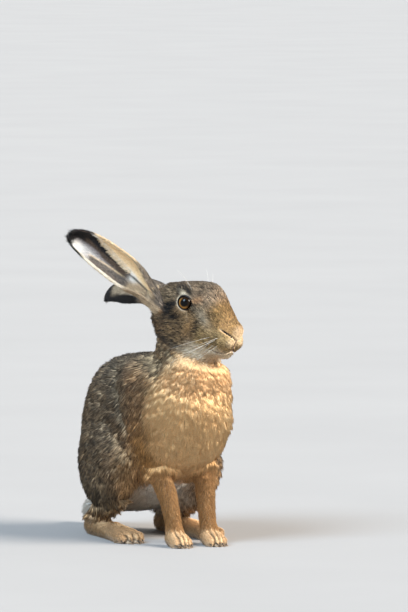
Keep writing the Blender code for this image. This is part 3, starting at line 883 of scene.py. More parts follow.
def paint_head(coat, weight, head, normals, eye_share):
    """Markings of the head, from the photograph's near side, the same on both, with painted shade under the
    jaw.
    """
    forward, aside, up = head[:, 0], abs(head[:, 1]), head[:, 2]
    whole = step(0.35, 0.75, weight["head"])
    spot = head_masks(head)
    side_on = step(6, 13, aside)
    tint(coat, CHEEK, whole)
    tint(coat, CROWN, whole * step(4, 14, up + 0.2 * (forward - 10)) * step(60, 40, forward))
    tint(coat, BRIDGE, whole * step(28, 43, forward - 0.5 * np.maximum(up - 8, 0)) * step(-24, -8, up))
    tint(coat, MUZZLE, whole * step(26, 36, forward) * step(-6, -16, up))
    tint(coat, TAN, whole * 0.7 * spot((58, -3), (11, 7), -30))
    tint(coat, TAN, whole * side_on * 0.6 * spot((40, -13), (7, 6)))
    tint(coat, CREAM, whole * 0.45 * step(65, 72, forward) * step(-30, -20, up))
    tint(coat, CREAM, whole * 0.7 * step(-28, -34, up) * step(50, 60, forward))
    tint(coat, GREY, whole * step(-44, -52, up) * step(-10, 20, forward))
    tint(coat, CREAM, whole * 0.9 * step(-33, -41, up) * step(14, 34, forward))
    tint(coat, GREY, whole * side_on * 0.4 * spot((-24, 4), (10, 10)))
    tint(coat, GREY, whole * side_on * 0.9 * spot((33, -6), (13, 6.2), -40))
    tint(coat, DARK, whole * side_on * 0.8 * spot((28.5, -16), (2.6, 9), 10))
    tint(coat, DARK, whole * side_on * 1.2 * spot((-14.5, -12), (5.5, 13), -6))
    tint(coat, DARK, whole * side_on * spot((-4, -18.5), (7, 3.6), 12))
    tint(coat, DARK, whole * 0.6 * spot((-38, -34), (10, 14)))
    # Painted shade: the underside behind the jaw is darkened.
    tint(coat, DARK, whole * 0.7 * step(-36, -50, up) * step(24, -6, forward))
    tint(coat, TAN, whole * side_on * 0.8 * spot((19.5, -21), (5, 11), -12))
    tint(coat, ORANGE, whole * side_on * 0.8 * spot((18, 6), (4.0, 7.5), -15))
    tint(coat, CREAM, whole * side_on * 0.7 * spot((15, 0), (2.2, 5), -40))
    brow = spot((-13.5, 10), (6.5, 2.6), 66) + 1.2 * spot((0, 18), (9, 2.8), 8)
    tint(coat, DARK, whole * side_on * np.clip(brow, 0, 1))
    tint(coat, CREAM, whole * side_on * spot((-4.5, 11.4), (7, 2.4), 12))
    ring = step(1.09, 1.12, eye_share) * step(1.25, 1.16, eye_share)
    tint(coat, CREAM, whole * 0.85 * ring * step(9, -2, up + 0.5 * forward))
    tint(coat, TAN, whole * 0.7 * ring * step(2, 10, forward))
    tint(coat, CREAM, whole * 0.45 * ring)
    tint(coat, BLACK, step(1.13, 1.06, eye_share))
    tint(coat, BLACK, whole * side_on * coat.canthus)
    tint(coat, BLACK, whole * side_on * step(1.22, 1.12, eye_share) * step(4, 8, up))


# Along the inside of the ear, by share of its length: the angle of the buff band's fringe, of the
# white field's upper edge and of the ridge, in degrees from the middle of the back.
FRINGE = [0.2, 0.36, 0.46, 0.55, 0.66, 0.75, 0.83, 0.9], [16, 14, 8, 3, -10, -30, -47, -60]
WHITE_TOP = [0.3, 0.46, 0.6, 0.68, 0.73, 0.83, 0.93, 1.0], [42, 42, 42, 36, 26, 18, 12, 14]
RIDGE = [0.2, 0.4, 0.5, 0.64, 0.78, 0.84], [24, 37, 42, 43, 46, 60]
SLIT_ANGLE = 15


def paint_ears(coat, sets):
    """Markings of each ear from its own coordinates, with painted shade inside the ear's hollow."""
    for word, (index, share, angle, radius) in sets.items():
        front, rear = ear_margins(word, share)
        inside = step(1.05, 0.95, radius) * step(0.1, 0.2, share)
        across = np.where(angle > 0, angle / front, angle / rear)
        part = Coat()
        part.light = np.tile(EAR_BACK[0], (len(index), 1))
        part.dark = np.tile(EAR_BACK[1], (len(index), 1))
        outside = 1 - inside
        tint(part, EAR_BASE, outside * 0.9 * step(10, 50, angle) * step(0.5, 0.3, share))
        tint(part, EAR_WHITE, outside * 0.8 * step(10, 40, angle) * step(0.42, 0.52, share))
        tint(part, GREY, outside * 0.8 * step(-30, 0, angle) * step(0.5, 0.6, share))
        dark_tip = step(0.68, 0.76, share + 0.26 * step(52, 66, angle) + 0.03 * step(-10, -40, angle))
        streak = np.exp(-(((angle + 5) / 17) ** 2)) * step(0.84, 0.72, share)
        tint(part, EAR_BLACK, outside * dark_tip * (1 - 0.75 * streak))
        edge = step(0.45, 0.75, -angle / rear) * step(0.36, 0.5, share)
        tint(part, EAR_BUFF, outside * edge * step(0.86, 0.8, share) * (word == "right"))
        tint(part, GREY, outside * step(-20, 10, angle) * step(64, 40, angle) * step(0.86, 0.79, share) * (word == "left"))
        rim = step(0.86, 0.95, across) * step(0.82, 0.74, share) * step(0.34, 0.42, share)
        tint(part, EAR_EDGE, outside * rim * (word == "right"))
        fringe, white_top, ridge = (np.interp(share, *row) for row in (FRINGE, WHITE_TOP, RIDGE))
        tint(part, EAR_BUFF, inside)
        tint(part, EAR_WHITE, inside * 0.85 * step(fringe - 20, fringe - 6, angle) * step(0.26, 0.4, share))
        # The brown and black band under the fringe: the ear's dark fur, deepened with painted shade of the
        # hollow under the fringe.
        tint(part, EAR_BROWN, inside * step(fringe - 1, fringe + 4, angle))
        black_edge = fringe + 8 + 30 * step(0.5, 0.85, share)
        black = step(fringe - 1, fringe + 3, angle) * step(black_edge + 8, black_edge - 4, angle)
        tint(part, EAR_BLACK, inside * black * step(0.42, 0.56, share))
        tint(part, EAR_BLACK, inside * step(0.85, 0.9, share) * step(white_top + 3, white_top - 3, angle))
        patch = np.exp(-(((share - 0.885) / 0.03) ** 2) - ((angle + 30) / 10) ** 2)
        tint(part, EAR_BROWN, inside * 0.55 * patch)
        # Painted shade: the inner white field greys towards the dark band and stays whiter towards the tip.
        tint(part, EAR_PAINTED_SHADE, inside * step(white_top - 12, white_top + 2, angle) * step(0.5, 0.62, share))
        field = inside * step(white_top, white_top + 16, angle) * step(0.56, 0.70, share)
        tint(part, EAR_PAINTED_SHADE, field)
        tint(part, EAR_WHITE, field * (0.35 + 0.5 * step(0.8, 0.9, share)))
        strip = step(ridge + 1, ridge + 4, angle) * step(0.80, 0.76, share)
        tint(part, EAR_GREY, inside * strip)
        thin = np.exp(-(((angle - ridge) / 2.6) ** 2)) * step(0.42, 0.5, share) * step(0.82, 0.76, share)
        tint(part, EAR_BUFF, inside * 0.9 * thin)
        tint(part, EAR_EDGE, inside * step(0.86, 0.93, across) * step(0.95, 0.88, share))
        flap = inside * step(SLIT_ANGLE + 1, SLIT_ANGLE + 4, angle) * step(0.42, 0.34, share)
        tint(part, EAR_BASE, flap)
        tuft = np.exp(-(((share - 0.375) / 0.04) ** 2) - ((angle - 26) / 12) ** 2)
        tint(part, EAR_WHITE, inside * 0.9 * tuft)
        reach = inside * step(0.19, 0.23, share) * step(0.42, 0.38, share)
        slit = np.exp(-(((angle - SLIT_ANGLE) / 6) ** 2)) * reach
        tint(part, BLACK, slit)
        coat.slits[index] = np.exp(-(((angle - SLIT_ANGLE) / 9) ** 2)) * reach
        tint(part, EAR_BLACK, step(0.93, 0.96, share))
        tint(part, EAR_BLACK, step(0.84, 0.9, share) * step(0.1, 0.4, -angle / rear))
        tint(part, EAR_BLACK, step(0.80, 0.85, share) * step(0.92, 0.97, abs(across)))
        tint(part, EAR_BROWN, 0.6 * inside * step(0.95, 0.98, -angle / rear) * step(0.2, 0.3, share))
        part.fringe = inside * np.exp(-(((angle - fringe + 9) / 6.0) ** 2))
        part.fringe *= step(0.40, 0.46, share) * step(0.80, 0.70, share)
        coat.fringe[index] = part.fringe
        coat.light[index] = part.light
        coat.dark[index] = part.dark


def coat_of(mesh, net, places):
    """Fills in the coat for every vertex of the skin."""
    coat = Coat()
    normals = vertex_normals(mesh)
    labels, names = nearest_nodes(places)
    weight = {name: net.spread((labels == i).astype(float), 14) for i, name in enumerate(names)}
    head, body = in_head(places), in_body(places)
    ears = ear_vertex_sets(labels, names, places)
    eye_share = np.full(len(places), 9.0)
    for side in SIDES.values():
        share, far, _ = eye_places(places, side)
        eye_share = np.where(far < 24, np.minimum(eye_share, share), eye_share)

    lie = carried(both_sides(BODY_LIE, 0), body, 14) * (1, -1, 1)
    head_lie = carried(both_sides(HEAD_LIE, 1), head, 6) @ HEAD
    lie = mix(unit(lie), unit(head_lie), weight["head"])
    for side in SIDES.values():
        share, far, out = eye_places(places, side)
        looks = eye_axes(side)[1]
        away = unit(out - looks * (out @ looks)[:, None])
        near = step(2.0, 1.2, share) * (far < 22)
        lie += away * near[:, None] * 2.2
    for word, (index, share, angle, radius) in ears.items():
        _, along, opens, front = ear_frame(word, share)
        lie[index] = along
    lie -= normals * (lie * normals).sum(1)[:, None]
    lie = net.spread(unit(lie), 10)
    lie -= normals * (lie * normals).sum(1)[:, None]
    coat.lie = unit(lie)
    stray = 0.55 * field_noise(places, 17, 3) + 0.35 * field_noise(places, 7, 4)

    breast = step(95, 135, body[:, 1]) * step(95, 130, body[:, 2])
    length = 18 + 3 * breast
    depth = 8.4 - 3.4 * breast + 2 * breast * step(152, 130, body[:, 2])
    collar = 7.6 - 2.6 * step(104, 128, body[:, 1])
    region = {"neck": (15, collar), "head": (8, 2.2), "tail": (16, 4), "haunch": (16, 7)}
    region.update({"foreleg": (8.5, 2.4), "forepaw": (5, 1.2), "hind_foot": (6.5, 1.4), "ear": (3.8, 0.5)})
    for i, name in enumerate(names):
        for kind, (long, deep) in region.items():
            if name.startswith(kind):
                length = np.where(labels == i, long, length)
                depth = np.where(labels == i, deep, depth)
    forward, aside, up = head[:, 0], abs(head[:, 1]), head[:, 2]
    on_head_now = labels == names.index("head")
    feet = np.isin(labels, [i for i, name in enumerate(names) if "paw" in name or "foot" in name])
    face = 4.8 + 5 * step(12, -35, forward) + 1.5 * step(-30, -50, up) * step(50, 20, forward)
    face -= 1.6 * step(45, 66, forward)
    length = np.where(on_head_now, face, length)
    depth = np.where(on_head_now, 0.34 * face - 1.0, depth)
    length = net.spread(length, 24)
    depth = net.spread(depth, 30)
    for word, (index, share, angle, radius) in ears.items():
        front, rear = ear_margins(word, share)
        edge = np.maximum(angle / front, -angle / rear)
        length[index] += 1.6 * step(0.8, 0.97, edge) + 3.5 * step(0.42, 0.12, share)
        length[index] += 1.8 * step(0.9, 0.98, share)
        depth[index] += 1.6 * step(0.36, 0.2, share) * step(0.95, 1.02, radius)
    crown = step(12, 22, up) * step(44, 30, forward) * step(-38, -28, forward) * on_head_now
    depth += net.spread(crown * (2.4 * step(8, 21, aside) - 0.5), 8)
    toe_ends = feet * (body[:, 2] < 16) * np.where(body[:, 1] > 100, step(140, 149, body[:, 1]), 1)
    toe_ends *= np.where(body[:, 1] > 100, 1, step(66, 76, body[:, 1]))
    length = length * (1 - 0.5 * net.spread(toe_ends, 2))
    near_eye = step(1.75, 1.1, eye_share)
    length = mix(length, 1.7, near_eye * weight["head"])
    depth = mix(depth, 0.6, near_eye * weight["head"])
    sole = step(-0.5, -0.9, normals[:, 2]) * step(4, 1, places[:, 2])
    depth = mix(depth, 0.15, sole)
    coat.length, coat.depth = length, depth
    across = np.cross(coat.lie, normals)
    coat.lie = unit(coat.lie + across * (stray * step(5, 14, length))[:, None])
    coat.canthus = np.exp(-(((forward - 11.3) / 3.0) ** 2) - ((up + 3.6) / 2.1) ** 2)
    coat.canthus *= weight["head"] * (aside > 12)
    coat.bare = np.clip(sole + step(1.14, 1.07, eye_share) + 1.7 * coat.canthus, 0, 1)

    # The dip behind the shoulder: sunk deeper below, and darkened with painted shade in paint_body.
    coat.hollow = hollow_behind_shoulder(body)
    depth += 2.6 * coat.hollow
    paint_body(coat, weight, body, normals)
    paint_head(coat, weight, head, normals, eye_share)
    coat.light, coat.dark = net.spread(coat.light, 1), net.spread(coat.dark, 1)
    coat.fringe, coat.slits = np.zeros(len(places)), np.zeros(len(places))
    coat.fringe_lie = coat.lie.copy()
    paint_ears(coat, ears)
    coat.length *= 1 - 0.8 * coat.slits
    coat.bare = np.clip(coat.bare + 1.3 * coat.slits, 0, 1)
    for word, (index, share, angle, radius) in ears.items():
        _, along, _, front = ear_frame(word, share)
        around = np.cross(along, normals[index])
        around *= np.sign((around * front).sum(1))[:, None]
        coat.fringe_lie[index] = unit(along * 0.8 + around * 0.75)
    coat.weight, coat.names, coat.labels, coat.ears = weight, names, labels, ears
    coat.head, coat.body, coat.normals, coat.eye_share = head, body, normals, eye_share
    return coat


NOSTRIL = [(53, 15, -10), (60, 9.5, -13), (67, 1.6, -17)]
MOUTH = [(68, 1, -30), (66, 8, -34), (58, 15, -37), (46, 19, -37)]
PHILTRUM = [(69, 0, -18), (70, 0, -24), (68, 0, -31)]


FORE_TOES = ((-9.5, 147), (-3.2, 152), (3.2, 152), (9.5, 147))
HIND_TOES = ((-12.5, 76), (-4.5, 82), (4.5, 81), (12.5, 73))
FOREPAW_MIDDLE, FOREPAW_SPREAD, HIND_FOOT_MIDDLE = 2, 22, 52


def toe_rows():
    """Each foot's toes as (left, forward) places."""
    for side in SIDES.values():
        yield [(FOREPAW_MIDDLE + FOREPAW_SPREAD * side + left, ahead) for left, ahead in FORE_TOES]
        yield [(HIND_FOOT_MIDDLE * side + left * side, ahead) for left, ahead in HIND_TOES]


def toe_partings(places, coat):
    """How deep in the grooves between the toes each point lies."""
    body = coat.body
    found = np.zeros(len(places))
    for toes in toe_rows():
        for (left, ahead), (next_left, next_ahead) in zip(toes, toes[1:]):
            middle, front = (left + next_left) / 2, (ahead + next_ahead) / 2
            off = body[:, 0] - middle + 0.04 * (body[:, 1] - front) * np.sign(middle - toes[0][0])
            along = step(front - 24, front - 12, body[:, 1]) * (body[:, 2] < 26)
            near = (abs(body[:, 0] - middle) < 6) & (body[:, 1] < front + 12)
            found = np.maximum(found, near * along * np.exp(-((off / 1.25) ** 2)))
    return found


def shape_skin(mesh, net, coat, places):
    """Insets the skin by the coat's depth, then shapes nostrils, lips and lids, and paints shade into the
    nostril slits and the grooves between the toes.
    """
    normals = coat.normals
    places = places - normals * coat.depth[:, None]
    head = in_head(places)
    face = np.nonzero((head[:, 0] > 30) & (head[:, 0] < 90) & (abs(head[:, 1]) < 40))[0]
    tree = kd_of(places[face])
    slit = np.zeros(len(places))
    lips = np.zeros(len(places))
    move = np.zeros(len(places))
    for side in SIDES.values():
        far, along = groove_distance(places, [(f, l * side, u) for f, l, u in NOSTRIL], tree)
        ends = np.sin(np.pi * np.clip(along, 0.04, 0.96)) ** 0.5
        move += 0.55 * np.exp(-(((far - 2.3) / 1.0) ** 2)) * ends
        move -= 2.5 * np.exp(-((far / 1.15) ** 2)) * ends
        slit = np.maximum(slit, np.exp(-((far / 1.1) ** 2)) * ends)
        coat.length *= 1 - 0.7 * np.exp(-((far / 4.0) ** 2))
        coat.bare = np.clip(coat.bare + 1.7 * np.exp(-((far / 2.3) ** 2)) * ends, 0, 1)
        far, along = groove_distance(places, [(f, l * side, u) for f, l, u in MOUTH], tree)
        ends = step(1.0, 0.75, along)
        move += 0.5 * np.exp(-(((far - 2.4) / 1.1) ** 2)) * ends
        move -= 1.7 * np.exp(-((far / 0.9) ** 2)) * ends
        lips = np.maximum(lips, np.exp(-((far / 1.3) ** 2)) * ends)
    far, along = groove_distance(places, PHILTRUM, tree)
    move -= 1.6 * np.exp(-((far / 0.9) ** 2))
    lips = np.maximum(lips, np.exp(-((far / 1.5) ** 2)))
    parted = toe_partings(places, coat)
    move -= 1.9 * parted
    # Painted shade: the grooves between the toes are darkened.
    tint(coat, DARK, 0.6 * parted)
    places = places + normals * move[:, None]
    for side in SIDES.values():
        centre = eye_axes(side)[0]
        share, far, out = eye_places(places, side)
        margin = EYE_RADIUS - 0.6 + 1.35 * step(0.96, 1.05, share) + 0.8 * step(1.05, 1.3, share)
        blend = step(1.6, 1.2, share) * (far < 24)
        wanted = centre + out * margin[:, None]
        places = mix(places, wanted, blend)
    places[:, 2] = np.maximum(places[:, 2], 0.0)
    coat.bare = np.clip(coat.bare + 1.4 * slit + 1.2 * lips, 0, 1)
    tint(coat, (linear(222, 196, 160), linear(160, 132, 102)), 0.6 * step(0.05, 0.3, slit))
    tint(coat, (linear(112, 88, 80), linear(70, 52, 48)), step(0.2, 0.7, lips))
    # Painted shade: the nostril slit is near-black, standing in for the shadow inside the opening.
    tint(coat, (linear(34, 25, 23), linear(20, 15, 14)), step(0.3, 0.6, slit))
    set_places(mesh, places)
    return places


def mesh_piece(name, mesh, material):
    mesh.materials.clear()
    mesh.materials.append(material)
    piece = add_object(name, mesh)
    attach(piece, "root")
    return piece


def add_colours(mesh, colours):
    layer = mesh.attributes.new("coat", "FLOAT_COLOR", "POINT")
    full = np.ones((len(colours), 4), np.float32)
    full[:, :3] = colours
    layer.data.foreach_set("color", full.ravel())


def raw_mesh(name, places, triangles):
    """A mesh from arrays of places in millimetres and of triangles."""
    mesh = bpy.data.meshes.new(name)
    mesh.vertices.add(len(places))
    mesh.vertices.foreach_set("co", (places * MM).astype(np.float32).ravel())
    mesh.loops.add(triangles.size)
    mesh.loops.foreach_set("vertex_index", triangles.astype(np.int32).ravel())
    mesh.polygons.add(len(triangles))
    mesh.polygons.foreach_set("loop_start", np.arange(0, triangles.size, 3, dtype=np.int32))
    mesh.update(calc_edges=True)
    return mesh


# Tufts.


class Roots:
    """Where tufts grow, with what each takes from the skin there."""

    def __init__(self, triangles, corners, coat, places, normals):
        def carry(values):
            weights = corners if values.ndim == 1 else corners[..., None]
            return (values[triangles] * weights).sum(1)

        self.triangles, self.corners = triangles, corners
        self.place = carry(places)
        self.normal = unit(carry(normals))
        lie = carry(coat.lie)
        lie -= self.normal * (lie * self.normal).sum(1)[:, None]
        self.lie = unit(lie)
        self.length = carry(coat.length)
        self.depth = carry(coat.depth)
        self.light, self.dark = carry(coat.light), carry(coat.dark)
        self.ruffle = carry(coat.ruffle)
        self.speckle = carry(coat.speckle)
        self.grain = carry(coat.grain)

    def chosen(self, keep):
        part = object.__new__(Roots)
        for key, value in self.__dict__.items():
            setattr(part, key, value[keep])
        return part


def sample_roots(triangles, areas, density, coat, places, normals):
    """Evenly spread roots, so many to a square millimetre of each triangle."""
    expected = areas * density
    ends = np.cumsum(expected)
    count = int(ends[-1])
    spots = (np.arange(count) + rng.random(count)) / count * ends[-1]
    index = np.minimum(np.searchsorted(ends, spots), len(triangles) - 1)
    first, second = rng.random(count), rng.random(count)
    over = first + second > 1
    first[over], second[over] = 1 - first[over], 1 - second[over]
    corners = np.stack([1 - first - second, first, second], 1)
    return Roots(triangles[index], corners, coat, places, normals)


def clump_targets(roots, spacing, reach):
    """For each root, the end point that its clump's leading tuft has."""
    count = max(int(len(roots.place) / spacing), 1)
    leaders = rng.choice(len(roots.place), count, replace=False)
    tree = kd_of(roots.place[leaders])
    nearest = np.array([tree.find(place)[1] for place in roots.place])
    return leaders[nearest], nearest


# A tuft's corners as (share of its length, across, up), the last two in widths, and its faces.
# A stub is widest at its root, and a blade where the coat's surface is.
STUB = (
    [(0, -0.375, 0), (0, 0.375, 0), (0, 0, 0.285), (1, 0, 0)],
    [(0, 2, 1), (0, 1, 3), (1, 2, 3), (2, 0, 3)],
)
BLADE = (
    [(0, 0, 0), (0.45, -0.5, 0.3), (0.45, 0.5, 0.3), (1, 0, 0)],
    [(0, 2, 1), (3, 1, 2), (0, 1, 3), (0, 3, 2)],
)


def tufts(roots, width, lift, settle, clump, spacing, shape):
    """Closed, tapered four-sided tufts: each one's corners, and the number of its clump."""
    count = len(roots.place)
    normal, lie = roots.normal, roots.lie
    side = np.cross(lie, normal)
    stray = rng.normal(0, 1, (count, 2)) * roots.ruffle[:, None]
    way = unit(lie + side * stray[:, :1])
    rise = np.radians(lift * (1 + 0.25 * stray[:, 1]))[:, None]
    start = way * np.cos(rise) + normal * np.sin(rise)
    end = way * np.cos(rise * settle) + normal * np.sin(rise * settle)
    long = (roots.length * rng.uniform(0.72, 1.18, count))[:, None]
    turn = rng.normal(0, 0.4, count)[:, None]
    leader, group = clump_targets(roots, spacing, long)
    tip_end = roots.place + long * (start + end) / 2
    pull = tip_end[leader] - tip_end
    far = np.linalg.norm(pull, axis=1, keepdims=True)
    pull *= clump[:, None] * np.clip(0.5 * long / np.maximum(far, 1e-6), 0, 1)

    across = unit(np.cross(way, normal)) * np.cos(turn) + normal * np.sin(turn)
    raised = unit(np.cross(across, way))
    wide = (width * rng.uniform(0.75, 1.3, count))[:, None]
    places = []
    for share, left_right, up in shape[0]:
        place = roots.place - normal * 0.5 * (1 - share)
        place = place + long * (start * share + (end - start) * share**2 / 2)
        place = place + pull * share**1.6
        places.append(place + (across * left_right + raised * up) * wide)
    places = np.stack(places, 1)
    places[:, :, 2] = np.maximum(places[:, :, 2], 0.15)
    return places, group


def held(colours):
    """The colours, the brightest made dimmer without a change of hue."""
    return colours * np.minimum(1, 0.9 / colours.max(-1, keepdims=True))


def tuft_colours(roots, shares, group):
    """Dark roots, a light band, and tips that are light or dark from hair to hair."""
    count = len(roots.place)
    groups = group.max() + 1
    tone = rng.normal(0, 1, groups)[group] * 1.1 + rng.normal(0, 1, count) * 0.5
    banded = rng.random(count) < roots.speckle * (1 + 0.9 * rng.normal(0, 1, groups)[group])
    bright = np.exp(roots.grain * tone - 0.5 * roots.grain**2)[:, None]
    light, dark = held(roots.light * bright), held(roots.dark * bright)
    dark_share = np.clip(rng.normal(0, 0.3, count) + 0.08, 0, 1)
    body = mix(light, dark, dark_share)
    pale = step(0.35, 0.85, roots.light[:, :1])
    base = mix(dark, body, 0.15) * (0.55 + 0.35 * pale)
    tip = np.where(banded[:, None], mix(dark, body, 0.08), held(body * 1.12))
    colours = []
    for share in shares:
        low = mix(base, body, step(0.05, 0.55, np.array(share)))
        colours.append(mix(low, tip, step(0.6, 1.0, np.array(share))))
    return np.stack(colours, 1)


def root_uv(roots, rough):
    """Each root's place on an unwrap of the skin under this piece."""
    near = np.array([rough.tree.find_nearest(Vector(place))[2] for place in roots.place * MM])
    used = np.unique(near)
    mesh = bpy.data.meshes.new("patch")
    index = np.unique(rough.triangles[used])
    renumber = np.full(len(rough.places), -1)
    renumber[index] = np.arange(len(index))
    faces = renumber[rough.triangles[used]]
    mesh = raw_mesh("patch", rough.places[index], faces)
    patch = add_object("patch", mesh)
    bpy.context.view_layer.objects.active = patch
    for obj in bpy.context.selected_objects:
        obj.select_set(False)
    patch.select_set(True)
    mesh.uv_layers.new(name="UVMap")
    bpy.ops.object.mode_set(mode="EDIT")
    bpy.ops.mesh.select_all(action="SELECT")
    bpy.ops.uv.smart_project(angle_limit=math.radians(70), island_margin=0.004)
    bpy.ops.object.mode_set(mode="OBJECT")
    uv = np.empty(len(mesh.loops) * 2, np.float32)
    mesh.uv_layers[0].data.foreach_get("uv", uv)
    uv = uv.reshape(-1, 3, 2)
    bpy.data.objects.remove(patch)
    slot = np.searchsorted(used, near)
    corner = rough.places[rough.triangles[near]]
    weights = barycentric(roots.place, corner)
    return (uv[slot] * weights[..., None]).sum(1)


def barycentric(points, corner):
    first, second = corner[:, 1] - corner[:, 0], corner[:, 2] - corner[:, 0]
    out = points - corner[:, 0]
    a, b, c = (first * first).sum(1), (first * second).sum(1), (second * second).sum(1)
    d, e = (out * first).sum(1), (out * second).sum(1)
    below = np.maximum(a * c - b * b, 1e-9)
    v, w = (c * d - b * e) / below, (a * e - b * d) / below
    weights = np.clip(np.stack([1 - v - w, v, w], 1), 0, 1)
    return weights / weights.sum(1, keepdims=True)


class Rough:
    """A coarse copy of the skin, whose unwrap gives each tuft its place."""

    def __init__(self, mesh):
        coarse = add_object("coarse", mesh.copy())
        decimate = coarse.modifiers.new("fewer", "DECIMATE")
        decimate.ratio = 14000 / len(mesh.loop_triangles)
        decimate.use_collapse_triangulate = True
        graph = bpy.context.evaluated_depsgraph_get()
        made = bpy.data.meshes.new_from_object(coarse.evaluated_get(graph))
        bpy.data.objects.remove(coarse)
        self.places = vertex_places(made)
        self.triangles = loop_triangles(made)
        self.tree = BVHTree.FromPolygons(
            [Vector(place) for place in self.places * MM], self.triangles.tolist()
        )


def loop_triangles(mesh):
    mesh.calc_loop_triangles()
    found = np.empty(len(mesh.loop_triangles) * 3, np.int32)
    mesh.loop_triangles.foreach_get("vertices", found)
    return found.reshape(-1, 3)


PATCH = 0.003


def coat_piece(name, roots, shape, made, material, rough):
    """One coat piece from its tufts, with colours and the bake's map."""
    places, group = made
    corners, faces = np.array(shape[0]), np.array(shape[1])
    size = len(corners)
    triangles = faces[None] + (np.arange(len(places)) * size)[:, None, None]
    colours = tuft_colours(roots, corners[:, 0], group)
    mesh = raw_mesh(name, places.reshape(-1, 3), triangles.reshape(-1, 3))
    add_colours(mesh, colours.reshape(-1, 3))
    local = np.stack([corners[:, 1] * 0.6, corners[:, 0] - 0.5], 1)
    uv = root_uv(roots, rough)[:, None] + local[None] * PATCH
    layer = mesh.uv_layers.new(name="OFBake")
    layer.data.foreach_set("uv", uv.reshape(-1, 2)[triangles.ravel()].astype(np.float32).ravel())
    mesh.polygons.foreach_set("use_smooth", np.ones(len(mesh.polygons), bool))
    return mesh_piece(name, mesh, material)


MOST_TRIANGLES = 195000


def grow(coat, mesh, places, skin_triangles, rough):
    """Every coat piece."""
    normals = vertex_normals(mesh)
    corner = places[skin_triangles]
    areas = np.linalg.norm(np.cross(corner[:, 1] - corner[:, 0], corner[:, 2] - corner[:, 0]), axis=1) / 2
    bare = coat.bare[skin_triangles].mean(1)
    length = coat.length[skin_triangles].mean(1)
    owners = coat.labels[skin_triangles[:, 0]]
    kinds = np.array([name.split("_")[0] for name in coat.names])[owners]
    material = coat_material()
    thin = 1.0
    growing = 1 - step(0.35, 0.8, bare)
    # Piece, its skin, tufts to a square millimetre, width, lift, settling, clumping, tufts to a clump.
    plans = [
        ("coat_trunk", ("torso",), 1.6, 0.82, 25, 0.45, 0.62, 22, "fur_rufous_buff"),
        ("coat_neck", ("neck",), 2.0, 0.78, 24, 0.45, 0.65, 22, "fur_grizzled_brown"),
        ("coat_haunches", ("haunch",), 1.6, 0.82, 24, 0.45, 0.62, 22, "fur_grizzled_brown"),
        ("coat_tail", ("tail",), 1.9, 0.7, 22, 0.5, 0.5, 16, "tail_fur"),
        ("coat_forelegs", ("foreleg",), 2.2, 0.62, 19, 0.4, 0.4, 12, "fur_rufous_buff"),
        ("coat_feet", ("forepaw", "hind"), 1.4, 0.75, 16, 0.5, 0.35, 8, "fur_short_buff"),
        ("coat_ears", ("ear",), 1.5, 0.55, 14, 0.6, 0.15, 5, "ear_skin_and_fur"),
        ("coat_head", ("head",), 3.5, 0.75, 22, 0.45, 0.55, 14, "fur_grizzled_brown"),
    ]
    total = 0
    for name, owned, density, width, lift, settle, clump, spacing, slot in plans:
        inside = np.isin(kinds, owned)
        shape = BLADE if name in ("coat_trunk", "coat_neck", "coat_haunches", "coat_tail") else STUB
        share = growing * inside * density * thin
        if name == "coat_head":
            share = share * np.clip(1.35 - 0.07 * length, 0.5, 1.3)
        roots = sample_roots(skin_triangles, areas, share, coat, places, normals)
        if name == "coat_head":
            wide = width * np.clip(0.62 + 0.065 * roots.length, 0.7, 1.4)
        else:
            wide = np.full(len(roots.place), width)
        gather = np.full(len(roots.place), clump)
        tuft_places, group = tufts(roots, wide, lift, settle, gather, spacing, shape)
        pieces = math.ceil(len(roots.place) * 4 / MOST_TRIANGLES)
        order = np.argsort(roots.place[:, 1], kind="stable")
        for number in range(pieces):
            keep = order[number::pieces] if pieces > 1 else order
            label = f"{name}_{number + 1}" if pieces > 1 else name
            part = tuft_places[keep], group[keep]
            coat_piece(label, roots.chosen(keep), shape, part, material, rough)
        total += len(roots.place)
        print("coat", name, len(roots.place), "tufts")
    share = coat.fringe[skin_triangles].mean(1) * 5 * thin
    coat.length = np.full(len(places), 6.4)
    coat.lie = coat.fringe_lie
    coat.light = np.tile(mix(EAR_WHITE[0], EAR_BUFF[0], 0.75), (len(places), 1))
    coat.dark = np.tile(EAR_BUFF[1], (len(places), 1))
    roots = sample_roots(skin_triangles, areas, share, coat, places, normals)
    count = len(roots.place)
    made = tufts(roots, np.full(count, 0.45), 15, 0.3, np.full(count, 0.6), 14, BLADE)
    coat_piece("coat_ear_fringe", roots, BLADE, made, material, rough)
    print("coat in all", (total + count) * 4, "triangles")


# Eyes, lids, claws and whiskers.


def grid_mesh(name, rows, closed_ends=True):
    """A tube over rows of points, its ends closed by a point each."""
    mesh = bmesh.new()
    rings = [[mesh.verts.new(Vector(point) * MM) for point in row] for row in rows]
    size = len(rings[0])
    for row, following in zip(rings, rings[1:]):
        for i in range(size):
            j = (i + 1) % size
            mesh.faces.new((row[i], row[j], following[j], following[i]))
    if closed_ends:
        for row, points in ((rings[0], rows[0]), (rings[-1], rows[-1])):
            tip = mesh.verts.new(Vector(np.mean(points, axis=0)) * MM)
            for i in range(size):
                mesh.faces.new((row[i], row[(i + 1) % size], tip))
    bmesh.ops.recalc_face_normals(mesh, faces=mesh.faces)
    data = bpy.data.meshes.new(name)
    mesh.to_mesh(data)
    mesh.free()
    return data


def joined(name, meshes):
    whole = bmesh.new()
    for mesh in meshes:
        whole.from_mesh(mesh)
        bpy.data.meshes.remove(mesh)
    data = bpy.data.meshes.new(name)
    whole.to_mesh(data)
    whole.free()
    data.polygons.foreach_set("use_smooth", np.ones(len(data.polygons), bool))
    return data


